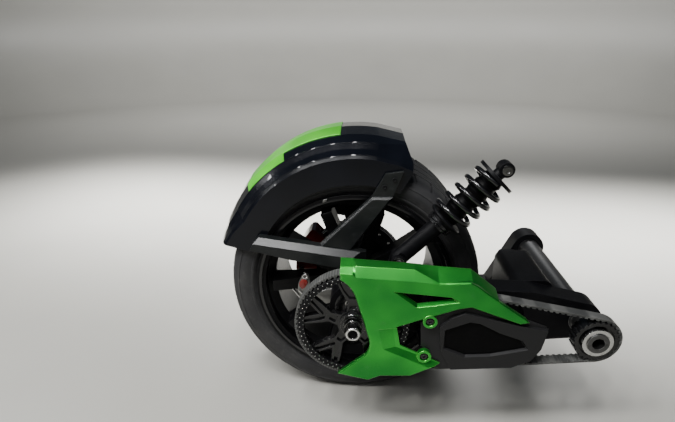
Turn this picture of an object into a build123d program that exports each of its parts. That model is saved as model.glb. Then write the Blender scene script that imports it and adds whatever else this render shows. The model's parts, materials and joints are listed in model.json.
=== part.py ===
from build123d import *
from math import asin, atan2, cos, degrees, hypot, pi, radians, sin, tan, tau
import os

# Rear wheel and swingarm unit of a three-wheeled roadster, all sizes in millimetres.
# The origin is the middle of the swingarm pivot: +X runs forward, +Y to the left, +Z up.
# The right side, -Y, carries the belt drive, the shock absorber and the guards.

# Layout of the unit
arm_reach = 580.0  # pivot to wheel axle, along X
axle_rise = 25.0  # wheel axle above the pivot
seat_gap = 0.3  # between pieces that seat on each other
running_gap = 0.05  # radial, shafts in their bearings

# Tyre and wheel
tyre_radius = 345.5
tyre_width = 305.0
tyre_wall = 13.0
bead_radius = 254.0
tyre_bulge = 12.8  # of each sidewall past the rim's bead seat
flange_height = 17.0
flange_width = 10.5
rim_wall = 7.0
well_radius = 232.0
well_step = 36.7  # from the flange to the drop centre
spoke_count = 10
spoke_root_width = 44.0
spoke_tip_width = 30.0
spoke_depth = 30.0
spoke_tip_inset = 12.0  # spoke face at the barrel, behind the flange face
spoke_root_inset = 48.0  # spoke face at the hub, behind the flange face
wheel_hub_radius = 62.0
tyre_widest = 304.0  # radius where the tyre is widest
tread_edge = 24.0  # of the tread, in from each side
spoke_angle = 2.0  # first spoke, from straight ahead

# Brake
disc_radius = 145.0
disc_bore_radius = 96.0
disc_thickness = 6.0
disc_offset = 5.0  # disc's middle, right of the wheel's middle plane
disc_hole_radius = 4.0
disc_hole_count = 20
disc_carrier_thickness = 8.0
caliper_angle = 165.0  # from straight ahead, over the top
caliper_span = 62.0
caliper_inner_radius = 114.0
caliper_outer_radius = 176.0
caliper_width = 64.0
caliper_edge = 8.0
disc_slot = 5.0  # free space each side of the disc

# Axle, a live spindle that carries the wheel and the driven pulley
spindle_radius = 22.0
spindle_thread_radius = 11.0
nut_radius = 20.0
nut_height = 17.0
tall_nut_height = 36.0  # right-hand nut
nut_edge = 3.0
bearing_radius = 40.0

# Belt drive
driven_pulley_radius = 135.0
drive_pulley_radius = 53.0
pulley_width = 32.0
pulley_rim_wall = 11.0
pulley_web = 16.0
pulley_inset = 6.0  # spokes' face, behind the rim's
pulley_pocket = 6.0  # depth of the pockets in the spokes
pulley_hub_radius = 34.0
pulley_spoke_count = 5
belt_width = 28.0
belt_backing = 4.0
belt_tooth_height = 3.0
belt_pitch = 14.0
belt_running_gap = 0.6
belt_clearance = 57.0  # between the arm and the belt

# Swingarm
arm_clearance = 32.5  # between tyre and arm
arm_thickness = 60.0
arm_eye_radius = 62.0
arm_waist_radius = 72.0
arm_waist = (440.0, -18.0)  # centre of the arm's deepest part, from the axle
arm_nose_radius = 50.0
arm_pocket_depth = 21.0
arm_rim = 13.0
arm_rib_width = 10.0
arm_rib_lean = 20.0
arm_rib_places = (0.36, 0.57)  # share of the way to the pivot
low_arm_bend = (200.0, -196.0)  # rear end of the left arm's low run, from the axle
low_arm_rise = (482.0, -196.0)  # front end of its low run
low_arm_radius = 36.0
low_arm_pocket = 15.0
yoke_back = 416.0  # rear face of the cross member's raised right half, ahead of the axle
yoke_front = 520.0
yoke_top = 54.0
yoke_bottom = -92.0
yoke_corner = 24.0
beam_back = 480.0  # rear face of the low beam that crosses to the left arm
beam_front = 540.0
beam_top = -30.0
beam_bottom = -126.0
yoke_bays = 4  # across the whole width
yoke_rib = 12.0
pivot_bolt_radius = 15.0
pivot_tube_radius = 32.0
pivot_journal_radius = 26.0
pivot_overhang = 3.0  # past the collar
collar_width = 7.0

# Shock absorber, eye to eye over the right arm
shock_lower = (110.0, 126.0)
shock_upper = (350.0, 365.0)
shock_eye_radius = 18.0
shock_eye_width = 34.0
shock_bolt_radius = 7.0
shock_tube_radius = 21.5
shock_seat_at = 152.0  # spring seat, from the lower eye
shock_seat_radius = 42.0
shock_seat_thickness = 9.0
spring_radius = 45.0  # to the middle of the wire
wire_radius = 6.0
spring_turns = 4.5
boot_radius = 29.0
boot_ridges = 7

# Hugger over the tyre, round its own centre
hugger_centre = (4.0, 34.0)
crown_gap = 40.5  # between the tyre and the top of the crown
hugger_clearance = 9.5  # between the tyre's sidewall and the hugger's
hugger_wall = 4.0
strip_start = 97.0  # coloured strip, from straight ahead, over the top
strip_step = 121.0
strip_end = 141.0
strip_wall = 2.0

# Side rails and braces that hold the hugger
rail_width = 38.0
rail_edge = 15.0
rail_top_back = (-250.0, 164.0)
rail_top_front = (30.0, 126.0)
brace_thickness = 20.0
brace_edge = 5.0
pad_thickness = 11.0  # upper ends of the braces, on the hugger

# Belt guards
guard_clearance = 5.5  # between the driven pulley and the upper guard
guard_depth = 12.0  # of the upper guard's side plate
guard_wall = 4.0
guard_edge = 3.0  # bevel round the side plate
guard_recess_depth = 8.0
boss_radius = 17.0
boss_cup_radius = 11.0
boss_cup_depth = 7.0
boss_hole_radius = 4.5
lower_guard_wall = 3.5
lower_guard_raise = 8.0

os.makedirs("parts", exist_ok=True)

axle = Vector(-arm_reach, 0, axle_rise)
wheel_axis = Axis(axle, (0, 1, 0))
pivot_place = (arm_reach, -axle_rise)  # the pivot as seen from the axle
rim_width = tyre_width - 2 * tyre_bulge
well_width = rim_width - 2 * well_step
arm_inner = tyre_width / 2 + arm_clearance
arm_outer = arm_inner + arm_thickness
belt_middle = arm_outer + belt_clearance + belt_width / 2
shock_offset = arm_inner + arm_thickness / 2
hugger_crown_radius = tyre_radius + crown_gap


def outline(distance):
    """Plane for outlines round the axle, forward and up, that extrudes away to the right."""
    return Plane(origin=axle - Vector(0, distance, 0), x_dir=(1, 0, 0), z_dir=(0, -1, 0))


def section():
    """Plane for sections of turned pieces round the axle: to the right, and out from the axle."""
    return Plane(origin=axle, x_dir=(0, -1, 0), z_dir=(-1, 0, 0))


def ring(inner, outer, near, far, centre=(0, 0)):
    """Turned ring round an axis along Y, between two distances to the right."""
    with BuildPart() as piece:
        with BuildSketch(outline(near)):
            with Locations(centre):
                Circle(outer)
                Circle(inner, mode=Mode.SUBTRACT)
        extrude(amount=far - near)
    return piece.part


# Tyre: an open carcass that hooks over both beads of the rim
bead_half = rim_width / 2 - seat_gap
bead_seat = bead_radius + seat_gap
bead_top = bead_radius + flange_height + 2
inner_half = bead_half - tyre_wall
tread_half = tyre_width / 2 - tread_edge
liner_radius = tyre_radius - tyre_wall
# One half of the section, from the liner round the bead and the sidewall to the tread
tyre_half = (
    (tread_half - 8, liner_radius),
    (inner_half, bead_seat),
    (bead_half, bead_seat),
    (bead_half, bead_top),
    (tyre_width / 2, tyre_widest),
    (tyre_width / 2 - 4, tyre_radius - 21),
    (tread_half + 12, tyre_radius - 8),
    (tread_half - 8, tyre_radius),
)
with BuildPart() as tyre:
    with BuildSketch(section()):
        with BuildLine():
            Polyline(*tyre_half, *[(-across, out) for across, out in reversed(tyre_half)], close=True)
        make_face()
    revolve(axis=wheel_axis)
tyre.part.label = "tyre"
export_step(tyre.part, "parts/tyre.step")

# Rim: barrel with a drop centre, cast in one with the spokes and the hub
flange_face = rim_width / 2 + flange_width
well_half = well_width / 2
spoke_tip_face = flange_face - spoke_tip_inset
spoke_root_face = flange_face - spoke_root_inset
hub_end = disc_offset - disc_thickness / 2 - seat_gap
with BuildPart() as rim:
    with BuildSketch(section()):
        with BuildLine():
            Polyline(
                (flange_face, bead_radius + flange_height),
                (rim_width / 2, bead_radius + flange_height),
                (rim_width / 2, bead_radius),
                (well_half + 14, bead_radius),
                (well_half, well_radius),
                (-well_half, well_radius),
                (-well_half - 14, bead_radius),
                (-rim_width / 2, bead_radius),
                (-rim_width / 2, bead_radius + flange_height),
                (-flange_face, bead_radius + flange_height),
                (-flange_face, bead_radius + flange_height - 6),
                (-rim_width / 2 - 2, bead_radius - rim_wall),
                (-well_half - 12, bead_radius - rim_wall),
                (-well_half + 2, well_radius - rim_wall),
                (well_half - 2, well_radius - rim_wall),
                (well_half + 12, bead_radius - rim_wall),
                (rim_width / 2 + 2, bead_radius - rim_wall),
                (flange_face, bead_radius + flange_height - 6),
                close=True,
            )
        make_face()
    revolve(axis=wheel_axis)
    with BuildSketch(outline(spoke_root_face - spoke_depth)):
        with PolarLocations(0, spoke_count, start_angle=spoke_angle):
            Polygon(
                (0, -spoke_root_width / 2),
                (well_radius + 6, -spoke_tip_width / 2),
                (well_radius + 6, spoke_tip_width / 2),
                (0, spoke_root_width / 2),
                align=None,
            )
        Circle(wheel_hub_radius)
        Circle(well_radius - rim_wall / 2, mode=Mode.INTERSECT)
    extrude(amount=spoke_tip_face - spoke_root_face + spoke_depth)
    with BuildSketch(section()):
        with BuildLine():
            Polyline(
                (spoke_root_face, 0),
                (spoke_root_face, wheel_hub_radius),
                (spoke_tip_face, well_radius - rim_wall),
                (flange_face + 1, well_radius - rim_wall),
                (flange_face + 1, 0),
                close=True,
            )
        make_face()
    revolve(axis=wheel_axis, mode=Mode.SUBTRACT)
    with BuildSketch(outline(disc_offset + disc_thickness)):
        Circle(wheel_hub_radius - 10)
    extrude(amount=spoke_root_face - disc_offset - disc_thickness)
    with BuildSketch(outline(0)):
        Circle(spindle_radius + seat_gap)
    extrude(amount=flange_face, mode=Mode.SUBTRACT)
rim.part.label = "rim"
export_step(rim.part, "parts/rim.step")

# Brake disc on its carrier, both behind the hub
disc_near = disc_offset - disc_thickness / 2
disc_far = disc_offset + disc_thickness / 2
with BuildPart() as brake_disc:
    with BuildSketch(outline(disc_near)):
        Circle(disc_radius)
        Circle(disc_bore_radius, mode=Mode.SUBTRACT)
        with PolarLocations((disc_radius + disc_bore_radius) / 2, disc_hole_count):
            Circle(disc_hole_radius, mode=Mode.SUBTRACT)
    extrude(amount=disc_thickness)
brake_disc.part.label = "brake_disc"
export_step(brake_disc.part, "parts/brake_disc.step")

with BuildPart() as disc_carrier:
    with BuildSketch(outline(disc_near - seat_gap - disc_carrier_thickness)):
        Circle(disc_bore_radius + 12)
        with PolarLocations(78, 5):
            Circle(14, mode=Mode.SUBTRACT)
        Circle(spindle_radius + seat_gap, mode=Mode.SUBTRACT)
    extrude(amount=disc_carrier_thickness)
    with BuildSketch(outline(disc_near - seat_gap)):
        Circle(wheel_hub_radius - 10)
        Circle(spindle_radius + seat_gap, mode=Mode.SUBTRACT)
    extrude(amount=disc_far + disc_thickness / 2 - seat_gap - disc_near + seat_gap)
disc_carrier.part.label = "disc_carrier"
export_step(disc_carrier.part, "parts/disc_carrier.step")

# Spindle with its nuts and the sleeve between wheel and pulley
pulley_near = belt_middle - pulley_width / 2
pulley_far = belt_middle + pulley_width / 2
nut_near = pulley_far + seat_gap
spindle_end = nut_near + tall_nut_height - nut_edge
arm_nut_near = arm_outer + 1.0
with BuildPart() as spindle:
    with BuildSketch(outline(-arm_outer)):
        Circle(spindle_radius)
    extrude(amount=arm_outer + pulley_far - 2)
    with BuildSketch(outline(-arm_nut_near - nut_height)):
        Circle(spindle_thread_radius)
    extrude(amount=arm_nut_near + nut_height + spindle_end)
spindle.part.label = "spindle"
export_step(spindle.part, "parts/spindle.step")

axle_nuts = (
    ("axle_nut_right", nut_near, tall_nut_height),
    ("axle_nut_left", -arm_nut_near - nut_height, nut_height),
)
for name, near, height in axle_nuts:
    with BuildPart() as axle_nut:
        with BuildSketch(outline(near)):
            RegularPolygon(nut_radius, 6)
        extrude(amount=height)
        with BuildSketch(outline(near)):
            Circle(nut_radius)
        extrude(amount=height, mode=Mode.INTERSECT)
        with BuildSketch(outline(near)):
            Circle(nut_radius - nut_edge)
        extrude(amount=height, taper=-15, mode=Mode.INTERSECT)
        with BuildSketch(outline(near)):
            Circle(spindle_thread_radius + seat_gap)
        extrude(amount=height, mode=Mode.SUBTRACT)
    axle_nut.part.label = name
    export_step(axle_nut.part, f"parts/{name}.step")

# Toothed pulleys: the driven one has branching spokes, the drive one a solid web
tooth_slot = belt_pitch * 0.45


def toothed_ring(radius, wall):
    """Grooved pulley rim that is drawn in the running sketch."""
    groove_count = round(tau * radius / belt_pitch)
    Circle(radius)
    with PolarLocations(radius, groove_count):
        Rectangle(2 * belt_tooth_height, tooth_slot, mode=Mode.SUBTRACT)
    Circle(radius - wall, mode=Mode.SUBTRACT)


# Outlines of one branching spoke, forward and sideways from the pulley's middle
spoke_stem = ((0, -19), (66, -12), (66, 12), (0, 19))
spoke_branch = ((50, -11), (64, -14), (128, 26), (128, 46), (88, 28), (62, 14))
pocket_stem = ((42, -10), (60, -7), (60, 7), (42, 10))
pocket_branch = ((70, -4), (118, 27), (118, 37), (88, 22), (70, 9))


def branching(stem, branch):
    """All the spokes of the driven pulley, or the pockets in them."""
    with PolarLocations(0, pulley_spoke_count, start_angle=18):
        Polygon(*stem, align=None)
        Polygon(*branch, align=None)
        Polygon(*[(x, -y) for x, y in reversed(branch)], align=None)


with BuildPart() as driven_pulley:
    with BuildSketch(outline(pulley_near)):
        toothed_ring(driven_pulley_radius, pulley_rim_wall)
    extrude(amount=pulley_width)
    with BuildSketch(outline(pulley_far - pulley_inset - pulley_web)):
        branching(spoke_stem, spoke_branch)
        Circle(driven_pulley_radius - pulley_rim_wall / 2, mode=Mode.INTERSECT)
        Circle(pulley_hub_radius + 4)
    extrude(amount=pulley_web)
    with BuildSketch(outline(pulley_far - pulley_inset - pulley_pocket)):
        branching(pocket_stem, pocket_branch)
        Circle(driven_pulley_radius - pulley_rim_wall - 4, mode=Mode.INTERSECT)
    extrude(amount=pulley_pocket, mode=Mode.SUBTRACT)
    with BuildSketch(outline(pulley_near)):
        Circle(pulley_hub_radius)
    extrude(amount=pulley_width)
    with BuildSketch(outline(pulley_near)):
        Circle(spindle_radius + seat_gap)
    extrude(amount=pulley_width - 1.5, mode=Mode.SUBTRACT)
    with BuildSketch(outline(pulley_near)):
        Circle(spindle_thread_radius + seat_gap)
    extrude(amount=pulley_width, mode=Mode.SUBTRACT)
driven_pulley.part.label = "driven_pulley"
export_step(driven_pulley.part, "parts/driven_pulley.step")

with BuildPart() as drive_pulley:
    with BuildSketch(outline(pulley_near)):
        with Locations(pivot_place):
            toothed_ring(drive_pulley_radius, pulley_rim_wall)
    extrude(amount=pulley_width)
    with BuildSketch(outline(belt_middle - pulley_web / 2)):
        with Locations(pivot_place):
            Circle(drive_pulley_radius - pulley_rim_wall / 2)
    extrude(amount=pulley_web)
    with BuildSketch(outline(pulley_near)):
        with Locations(pivot_place):
            Circle(pivot_journal_radius + 7)
    extrude(amount=pulley_width)
    with BuildSketch(outline(pulley_near)):
        with Locations(pivot_place):
            Circle(pivot_journal_radius + running_gap)
    extrude(amount=pulley_width, mode=Mode.SUBTRACT)
drive_pulley.part.label = "drive_pulley"
export_step(drive_pulley.part, "parts/drive_pulley.step")

# Belt: one closed loop, its teeth just clear of both pulleys
tooth_tip_rear = driven_pulley_radius + belt_running_gap
tooth_tip_front = drive_pulley_radius + belt_running_gap
back_rear = tooth_tip_rear + belt_tooth_height
back_front = tooth_tip_front + belt_tooth_height
centre_distance = hypot(*pivot_place)
lean = atan2(pivot_place[1], pivot_place[0])
wrap = atan2(back_rear - back_front, centre_distance)
run_length = (centre_distance**2 - (back_rear - back_front) ** 2) ** 0.5
rear_arc = back_rear * (pi + 2 * wrap)
front_arc = back_front * (pi - 2 * wrap)
belt_length = 2 * run_length + rear_arc + front_arc
belt_teeth = round(belt_length / belt_pitch)


def belt_place(distance):
    """Point on the belt's inner face and the way outwards there, measured along the loop."""
    top = lean + pi / 2 - wrap
    bottom = lean - pi / 2 + wrap
    if distance < rear_arc:
        out = top + distance / back_rear
        return back_rear * cos(out), back_rear * sin(out), out
    distance -= rear_arc
    if distance < run_length:
        start = (back_rear * cos(bottom), back_rear * sin(bottom))
        return start[0] - distance * sin(bottom), start[1] + distance * cos(bottom), bottom
    distance -= run_length
    if distance < front_arc:
        out = bottom + distance / back_front
        return pivot_place[0] + back_front * cos(out), pivot_place[1] + back_front * sin(out), out
    distance -= front_arc
    start = (pivot_place[0] + back_front * cos(top), pivot_place[1] + back_front * sin(top))
    return start[0] - distance * sin(top), start[1] + distance * cos(top), top


def belt_loop(rear, front, mode=Mode.ADD):
    """Filled loop round both pulleys with the given radii."""
    with BuildSketch(mode=Mode.PRIVATE) as filled:
        Circle(rear)
        with Locations(pivot_place):
            Circle(front)
        make_hull()
    add(filled.sketch, mode=mode)


with BuildPart() as drive_belt:
    with BuildSketch(outline(belt_middle - belt_width / 2)):
        belt_loop(back_rear + belt_backing, back_front + belt_backing)
        belt_loop(back_rear, back_front, Mode.SUBTRACT)
        for tooth in range(belt_teeth):
            x, z, out = belt_place(tooth * belt_length / belt_teeth)
            with Locations(Location((x, z, 0), (0, 0, degrees(out)))):
                Rectangle(2 * belt_tooth_height, belt_pitch / 2)
    extrude(amount=belt_width)
drive_belt.part.label = "drive_belt"
export_step(drive_belt.part, "parts/drive_belt.step")


def arm_top(forward):
    """Height of the arm's upper edge above the axle, between its eye and its waist."""
    slope = atan2(arm_waist[1], arm_waist[0]) + asin((arm_waist_radius - arm_eye_radius) / hypot(*arm_waist))
    return arm_eye_radius / cos(slope) + forward * tan(slope)


# Arms: a deep casting from the axle eye to the pivot, pocketed on both faces
with BuildPart() as arm_right:
    with BuildSketch(outline(arm_inner)):
        Circle(arm_eye_radius)
        with Locations(arm_waist):
            Circle(arm_waist_radius)
        with Locations(pivot_place):
            Circle(arm_nose_radius)
        make_hull()
    extrude(amount=arm_thickness)
    for face in (arm_inner, arm_outer - arm_pocket_depth):
        with BuildSketch(outline(face)):
            with Locations((arm_eye_radius + 48, 0)):
                Circle(arm_eye_radius - arm_rim - 8)
            with Locations((arm_waist[0] - 60, arm_waist[1])):
                Circle(arm_waist_radius - arm_rim - 4)
            make_hull()
            for share in arm_rib_places:
                with Locations((share * pivot_place[0], share * pivot_place[1])):
                    Rectangle(arm_rib_width, 4 * arm_waist_radius, rotation=arm_rib_lean, mode=Mode.SUBTRACT)
        extrude(amount=arm_pocket_depth, mode=Mode.SUBTRACT)
    with BuildSketch(outline(arm_inner)):
        Circle(bearing_radius + seat_gap)
        with Locations(pivot_place):
            Circle(pivot_tube_radius + seat_gap)
    extrude(amount=arm_thickness, mode=Mode.SUBTRACT)
arm_right.part.label = "arm_right"
export_step(arm_right.part, "parts/arm_right.step")

low_arm_pockets = (
    (0.35 * low_arm_bend[0], 0.35 * low_arm_bend[1]),
    (0.95 * low_arm_bend[0], 0.95 * low_arm_bend[1]),
    (low_arm_bend[0] + low_arm_radius, low_arm_bend[1]),
    (low_arm_rise[0] - low_arm_radius, low_arm_rise[1]),
)

# Left arm: bowed down, so that the wheel's windows look out over it
with BuildPart() as arm_left:
    with BuildSketch(outline(-arm_outer)):
        for start, start_radius, end, end_radius in (
            ((0, 0), arm_eye_radius, low_arm_bend, low_arm_radius),
            (low_arm_bend, low_arm_radius, low_arm_rise, low_arm_radius),
            (low_arm_rise, low_arm_radius, pivot_place, arm_nose_radius),
        ):
            with BuildSketch(mode=Mode.PRIVATE) as limb:
                with Locations(start):
                    Circle(start_radius)
                with Locations(end):
                    Circle(end_radius)
                make_hull()
            add(limb.sketch)
    extrude(amount=arm_thickness)
    with BuildSketch(outline(-arm_outer)):
        Circle(bearing_radius + seat_gap)
        with Locations(pivot_place):
            Circle(pivot_tube_radius + seat_gap)
    extrude(amount=arm_thickness, mode=Mode.SUBTRACT)
    with BuildSketch(outline(-arm_outer)):
        for start, end in ((low_arm_pockets[0], low_arm_pockets[1]), (low_arm_pockets[2], low_arm_pockets[3])):
            with BuildSketch(mode=Mode.PRIVATE) as pocket:
                with Locations(start, end):
                    Circle(low_arm_pocket)
                make_hull()
            add(pocket.sketch)
    extrude(amount=arm_pocket_depth, mode=Mode.SUBTRACT)
arm_left.part.label = "arm_left"
export_step(arm_left.part, "parts/arm_left.step")

# Cross member ahead of the tyre: a low beam with a raised right half, hollow and open to the front
yoke_half = arm_inner - seat_gap
yoke_bay = (2 * yoke_half - yoke_rib) / yoke_bays
with BuildPart() as yoke:
    with BuildSketch(outline(-yoke_half)):
        with Locations(((beam_back + beam_front) / 2, (beam_top + beam_bottom) / 2)):
            RectangleRounded(beam_front - beam_back, beam_top - beam_bottom, yoke_corner / 2)
    extrude(amount=2 * yoke_half)
    with BuildSketch(outline(0)):
        with Locations(((yoke_back + yoke_front) / 2, (yoke_top + yoke_bottom) / 2)):
            RectangleRounded(yoke_front - yoke_back, yoke_top - yoke_bottom, yoke_corner)
    extrude(amount=yoke_half)
    with BuildSketch(Plane.YZ.offset(beam_front - arm_reach)):
        with Locations((0, axle_rise + (beam_top + beam_bottom) / 2)):
            with GridLocations(yoke_bay, 0, yoke_bays, 1):
                RectangleRounded(yoke_bay - yoke_rib, beam_top - beam_bottom - 2 * yoke_rib, yoke_rib)
    extrude(amount=-(beam_front - beam_back - yoke_rib), mode=Mode.SUBTRACT)
    with BuildSketch(Plane.YZ.offset(yoke_front - arm_reach)):
        with Locations((-yoke_half / 2, axle_rise + (yoke_top + beam_top) / 2)):
            with GridLocations(yoke_bay, 0, yoke_bays // 2, 1):
                RectangleRounded(yoke_bay - yoke_rib, yoke_top - beam_top - 2 * yoke_rib, yoke_rib)
    extrude(amount=-(yoke_front - yoke_back - yoke_rib), mode=Mode.SUBTRACT)
yoke.part.label = "yoke"
export_step(yoke.part, "parts/yoke.step")

# Pivot tube: through bore for the frame bolt, and a journal for the drive pulley
collar_near = pulley_far + 1.0
pivot_end = collar_near + collar_width + pivot_overhang
with BuildPart() as pivot_tube:
    with BuildSketch(outline(-arm_outer)):
        with Locations(pivot_place):
            Circle(pivot_tube_radius)
    extrude(amount=2 * arm_outer)
    with BuildSketch(outline(arm_outer)):
        with Locations(pivot_place):
            Circle(pivot_journal_radius)
    extrude(amount=pivot_end - arm_outer)
    with BuildSketch(outline(-arm_outer)):
        with Locations(pivot_place):
            Circle(pivot_bolt_radius)
    extrude(amount=arm_outer + pivot_end, mode=Mode.SUBTRACT)
pivot_tube.part.label = "pivot_tube"
export_step(pivot_tube.part, "parts/pivot_tube.step")

pivot_collar = ring(
    pivot_journal_radius + seat_gap,
    pivot_journal_radius + 10,
    collar_near,
    collar_near + collar_width,
    pivot_place,
)
pivot_collar.label = "pivot_collar"
export_step(pivot_collar, "parts/pivot_collar.step")

# Bearings of the spindle, one in each arm eye
for name, near in (("bearing_right", arm_inner), ("bearing_left", -arm_outer)):
    bearing = ring(spindle_radius + running_gap, bearing_radius, near, near + arm_thickness)
    bearing.label = name
    export_step(bearing, f"parts/{name}.step")

# Brake carrier tube from the left arm, and the plate that holds the caliper
carrier_end = 24.0
caliper_near = disc_offset - caliper_width / 2
with BuildPart() as brake_carrier:
    with BuildSketch(outline(-arm_inner + seat_gap)):
        Circle(bearing_radius + 10)
        Circle(spindle_radius + 6, mode=Mode.SUBTRACT)
    extrude(amount=arm_inner - carrier_end)
    with BuildSketch(outline(-arm_inner + seat_gap)):
        Circle(arm_eye_radius)
        Circle(spindle_radius + 6, mode=Mode.SUBTRACT)
    extrude(amount=10)
brake_carrier.part.label = "brake_carrier"
export_step(brake_carrier.part, "parts/brake_carrier.step")

plate_thickness = 10.0
plate_near = caliper_near - seat_gap - plate_thickness
caliper_middle = (caliper_inner_radius + caliper_outer_radius) / 2
with BuildPart() as caliper_bracket:
    with BuildSketch(outline(plate_near)):
        Circle(bearing_radius + 24)
        for angle in (caliper_angle - caliper_span / 3, caliper_angle + caliper_span / 3):
            with Locations(
                (caliper_middle * cos(radians(angle)), caliper_middle * sin(radians(angle)))
            ):
                Circle(16)
        make_hull()
        Circle(bearing_radius + 10 + seat_gap, mode=Mode.SUBTRACT)
    extrude(amount=plate_thickness)
caliper_bracket.part.label = "caliper_bracket"
export_step(caliper_bracket.part, "parts/caliper_bracket.step")

with BuildPart() as brake_caliper:
    with BuildSketch(outline(caliper_near)):
        with BuildLine():
            first = radians(caliper_angle - caliper_span / 2)
            middle = radians(caliper_angle)
            last = radians(caliper_angle + caliper_span / 2)
            outer_arc = ThreePointArc(
                *[(caliper_outer_radius * cos(a), caliper_outer_radius * sin(a)) for a in (first, middle, last)]
            )
            inner_arc = ThreePointArc(
                *[(caliper_inner_radius * cos(a), caliper_inner_radius * sin(a)) for a in (last, middle, first)]
            )
            Line(outer_arc @ 1, inner_arc @ 0)
            Line(inner_arc @ 1, outer_arc @ 0)
        make_face()
    extrude(amount=caliper_width)
    with BuildSketch(outline(disc_near - disc_slot)):
        Circle(disc_radius + disc_slot)
    extrude(amount=disc_thickness + 2 * disc_slot, mode=Mode.SUBTRACT)
    chamfer(brake_caliper.edges().filter_by(Axis.Y).group_by(SortBy.LENGTH)[-1], caliper_edge)
brake_caliper.part.label = "brake_caliper"
export_step(brake_caliper.part, "parts/brake_caliper.step")

# Shock absorber, drawn along its own axis from the lower eye
shock_reach = (shock_upper[0] - shock_lower[0], shock_upper[1] - shock_lower[1])
shock_length = hypot(*shock_reach)
shock_along = Vector(shock_reach[0], 0, shock_reach[1]).normalized()
shock_foot = axle + Vector(shock_lower[0], -shock_offset, shock_lower[1])
shock_head = shock_foot + shock_along * shock_length


def along_shock(distance):
    """Plane square to the shock absorber, at a distance up from its lower eye."""
    return Plane(origin=shock_foot + shock_along * distance, x_dir=(0, -1, 0), z_dir=shock_along)


seat_top = shock_seat_at + shock_seat_thickness
spring_start = seat_top + wire_radius + seat_gap
upper_seat_at = shock_length - shock_eye_radius - 14.0
spring_height = upper_seat_at - seat_gap - wire_radius - spring_start
spring_pitch = spring_height / spring_turns

with BuildPart() as shock_body:
    with BuildSketch(outline(shock_offset - shock_eye_width / 2)):
        with Locations(shock_lower):
            Circle(shock_eye_radius)
    extrude(amount=shock_eye_width)
    with BuildSketch(along_shock(0)):
        Circle(shock_tube_radius)
    extrude(amount=shock_seat_at - seat_gap)
    with BuildSketch(outline(shock_offset - 60)):
        with Locations(shock_lower):
            Circle(shock_bolt_radius + seat_gap)
    extrude(amount=120, mode=Mode.SUBTRACT)
    with BuildSketch(outline(shock_offset - 60)):
        with Locations(shock_lower):
            Circle(60)
    extrude(amount=60 - shock_eye_width / 2, mode=Mode.SUBTRACT)
    with BuildSketch(outline(shock_offset + shock_eye_width / 2)):
        with Locations(shock_lower):
            Circle(shock_eye_radius + 6)
    extrude(amount=60, mode=Mode.SUBTRACT)
shock_body.part.label = "shock_body"
export_step(shock_body.part, "parts/shock_body.step")

with BuildPart() as spring_seat_lower:
    with BuildSketch(along_shock(shock_seat_at)):
        Circle(shock_seat_radius + 4)
    extrude(amount=shock_seat_thickness)
    chamfer(spring_seat_lower.edges().filter_by(GeomType.CIRCLE), 3)
    with BuildSketch(along_shock(shock_seat_at - 14)):
        Circle(shock_tube_radius + 9)
    extrude(amount=14)
    with BuildSketch(along_shock(shock_seat_at - 14)):
        Circle(shock_tube_radius + seat_gap)
    extrude(amount=14, mode=Mode.SUBTRACT)
spring_seat_lower.part.label = "spring_seat_lower"
export_step(spring_seat_lower.part, "parts/spring_seat_lower.step")

with BuildPart() as shock_spring:
    with BuildLine() as coil:
        Helix(
            spring_pitch,
            spring_height,
            spring_radius,
            center=shock_foot + shock_along * spring_start,
            direction=shock_along,
        )
    with BuildSketch(Plane(origin=coil.line @ 0, z_dir=coil.line % 0)):
        RegularPolygon(wire_radius, 8)
    sweep(is_frenet=True)
shock_spring.part.label = "shock_spring"
export_step(shock_spring.part, "parts/shock_spring.step")

with BuildPart() as shock_boot:
    boot_low = seat_top + seat_gap
    boot_high = upper_seat_at - seat_gap
    ridge = (boot_high - boot_low) / boot_ridges
    boot_plane = Plane(origin=shock_foot, x_dir=shock_along, z_dir=(0, -1, 0))
    with BuildSketch(boot_plane):
        with BuildLine():
            points = [(boot_low, 0)]
            for fold in range(boot_ridges):
                points.append((boot_low + fold * ridge, boot_radius - 4))
                points.append((boot_low + (fold + 0.5) * ridge, boot_radius))
            points.append((boot_high, boot_radius - 4))
            points.append((boot_high, 0))
            Polyline(*points, close=True)
        make_face()
    revolve(axis=Axis(shock_foot, shock_along))
shock_boot.part.label = "shock_boot"
export_step(shock_boot.part, "parts/shock_boot.step")

with BuildPart() as shock_top:
    with BuildSketch(along_shock(upper_seat_at)):
        Circle(shock_seat_radius + 8)
    extrude(amount=8)
    with BuildSketch(along_shock(upper_seat_at + 8)):
        Circle(shock_eye_radius - 3)
    extrude(amount=shock_length - upper_seat_at - 8)
    with BuildSketch(outline(shock_offset - shock_eye_width / 2)):
        with Locations(shock_upper):
            Circle(shock_eye_radius)
    extrude(amount=shock_eye_width)
    with BuildSketch(outline(shock_offset - shock_eye_width / 2)):
        with Locations(shock_upper):
            Circle(shock_bolt_radius)
    extrude(amount=shock_eye_width, mode=Mode.SUBTRACT)
shock_top.part.label = "shock_top"
export_step(shock_top.part, "parts/shock_top.step")

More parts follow.
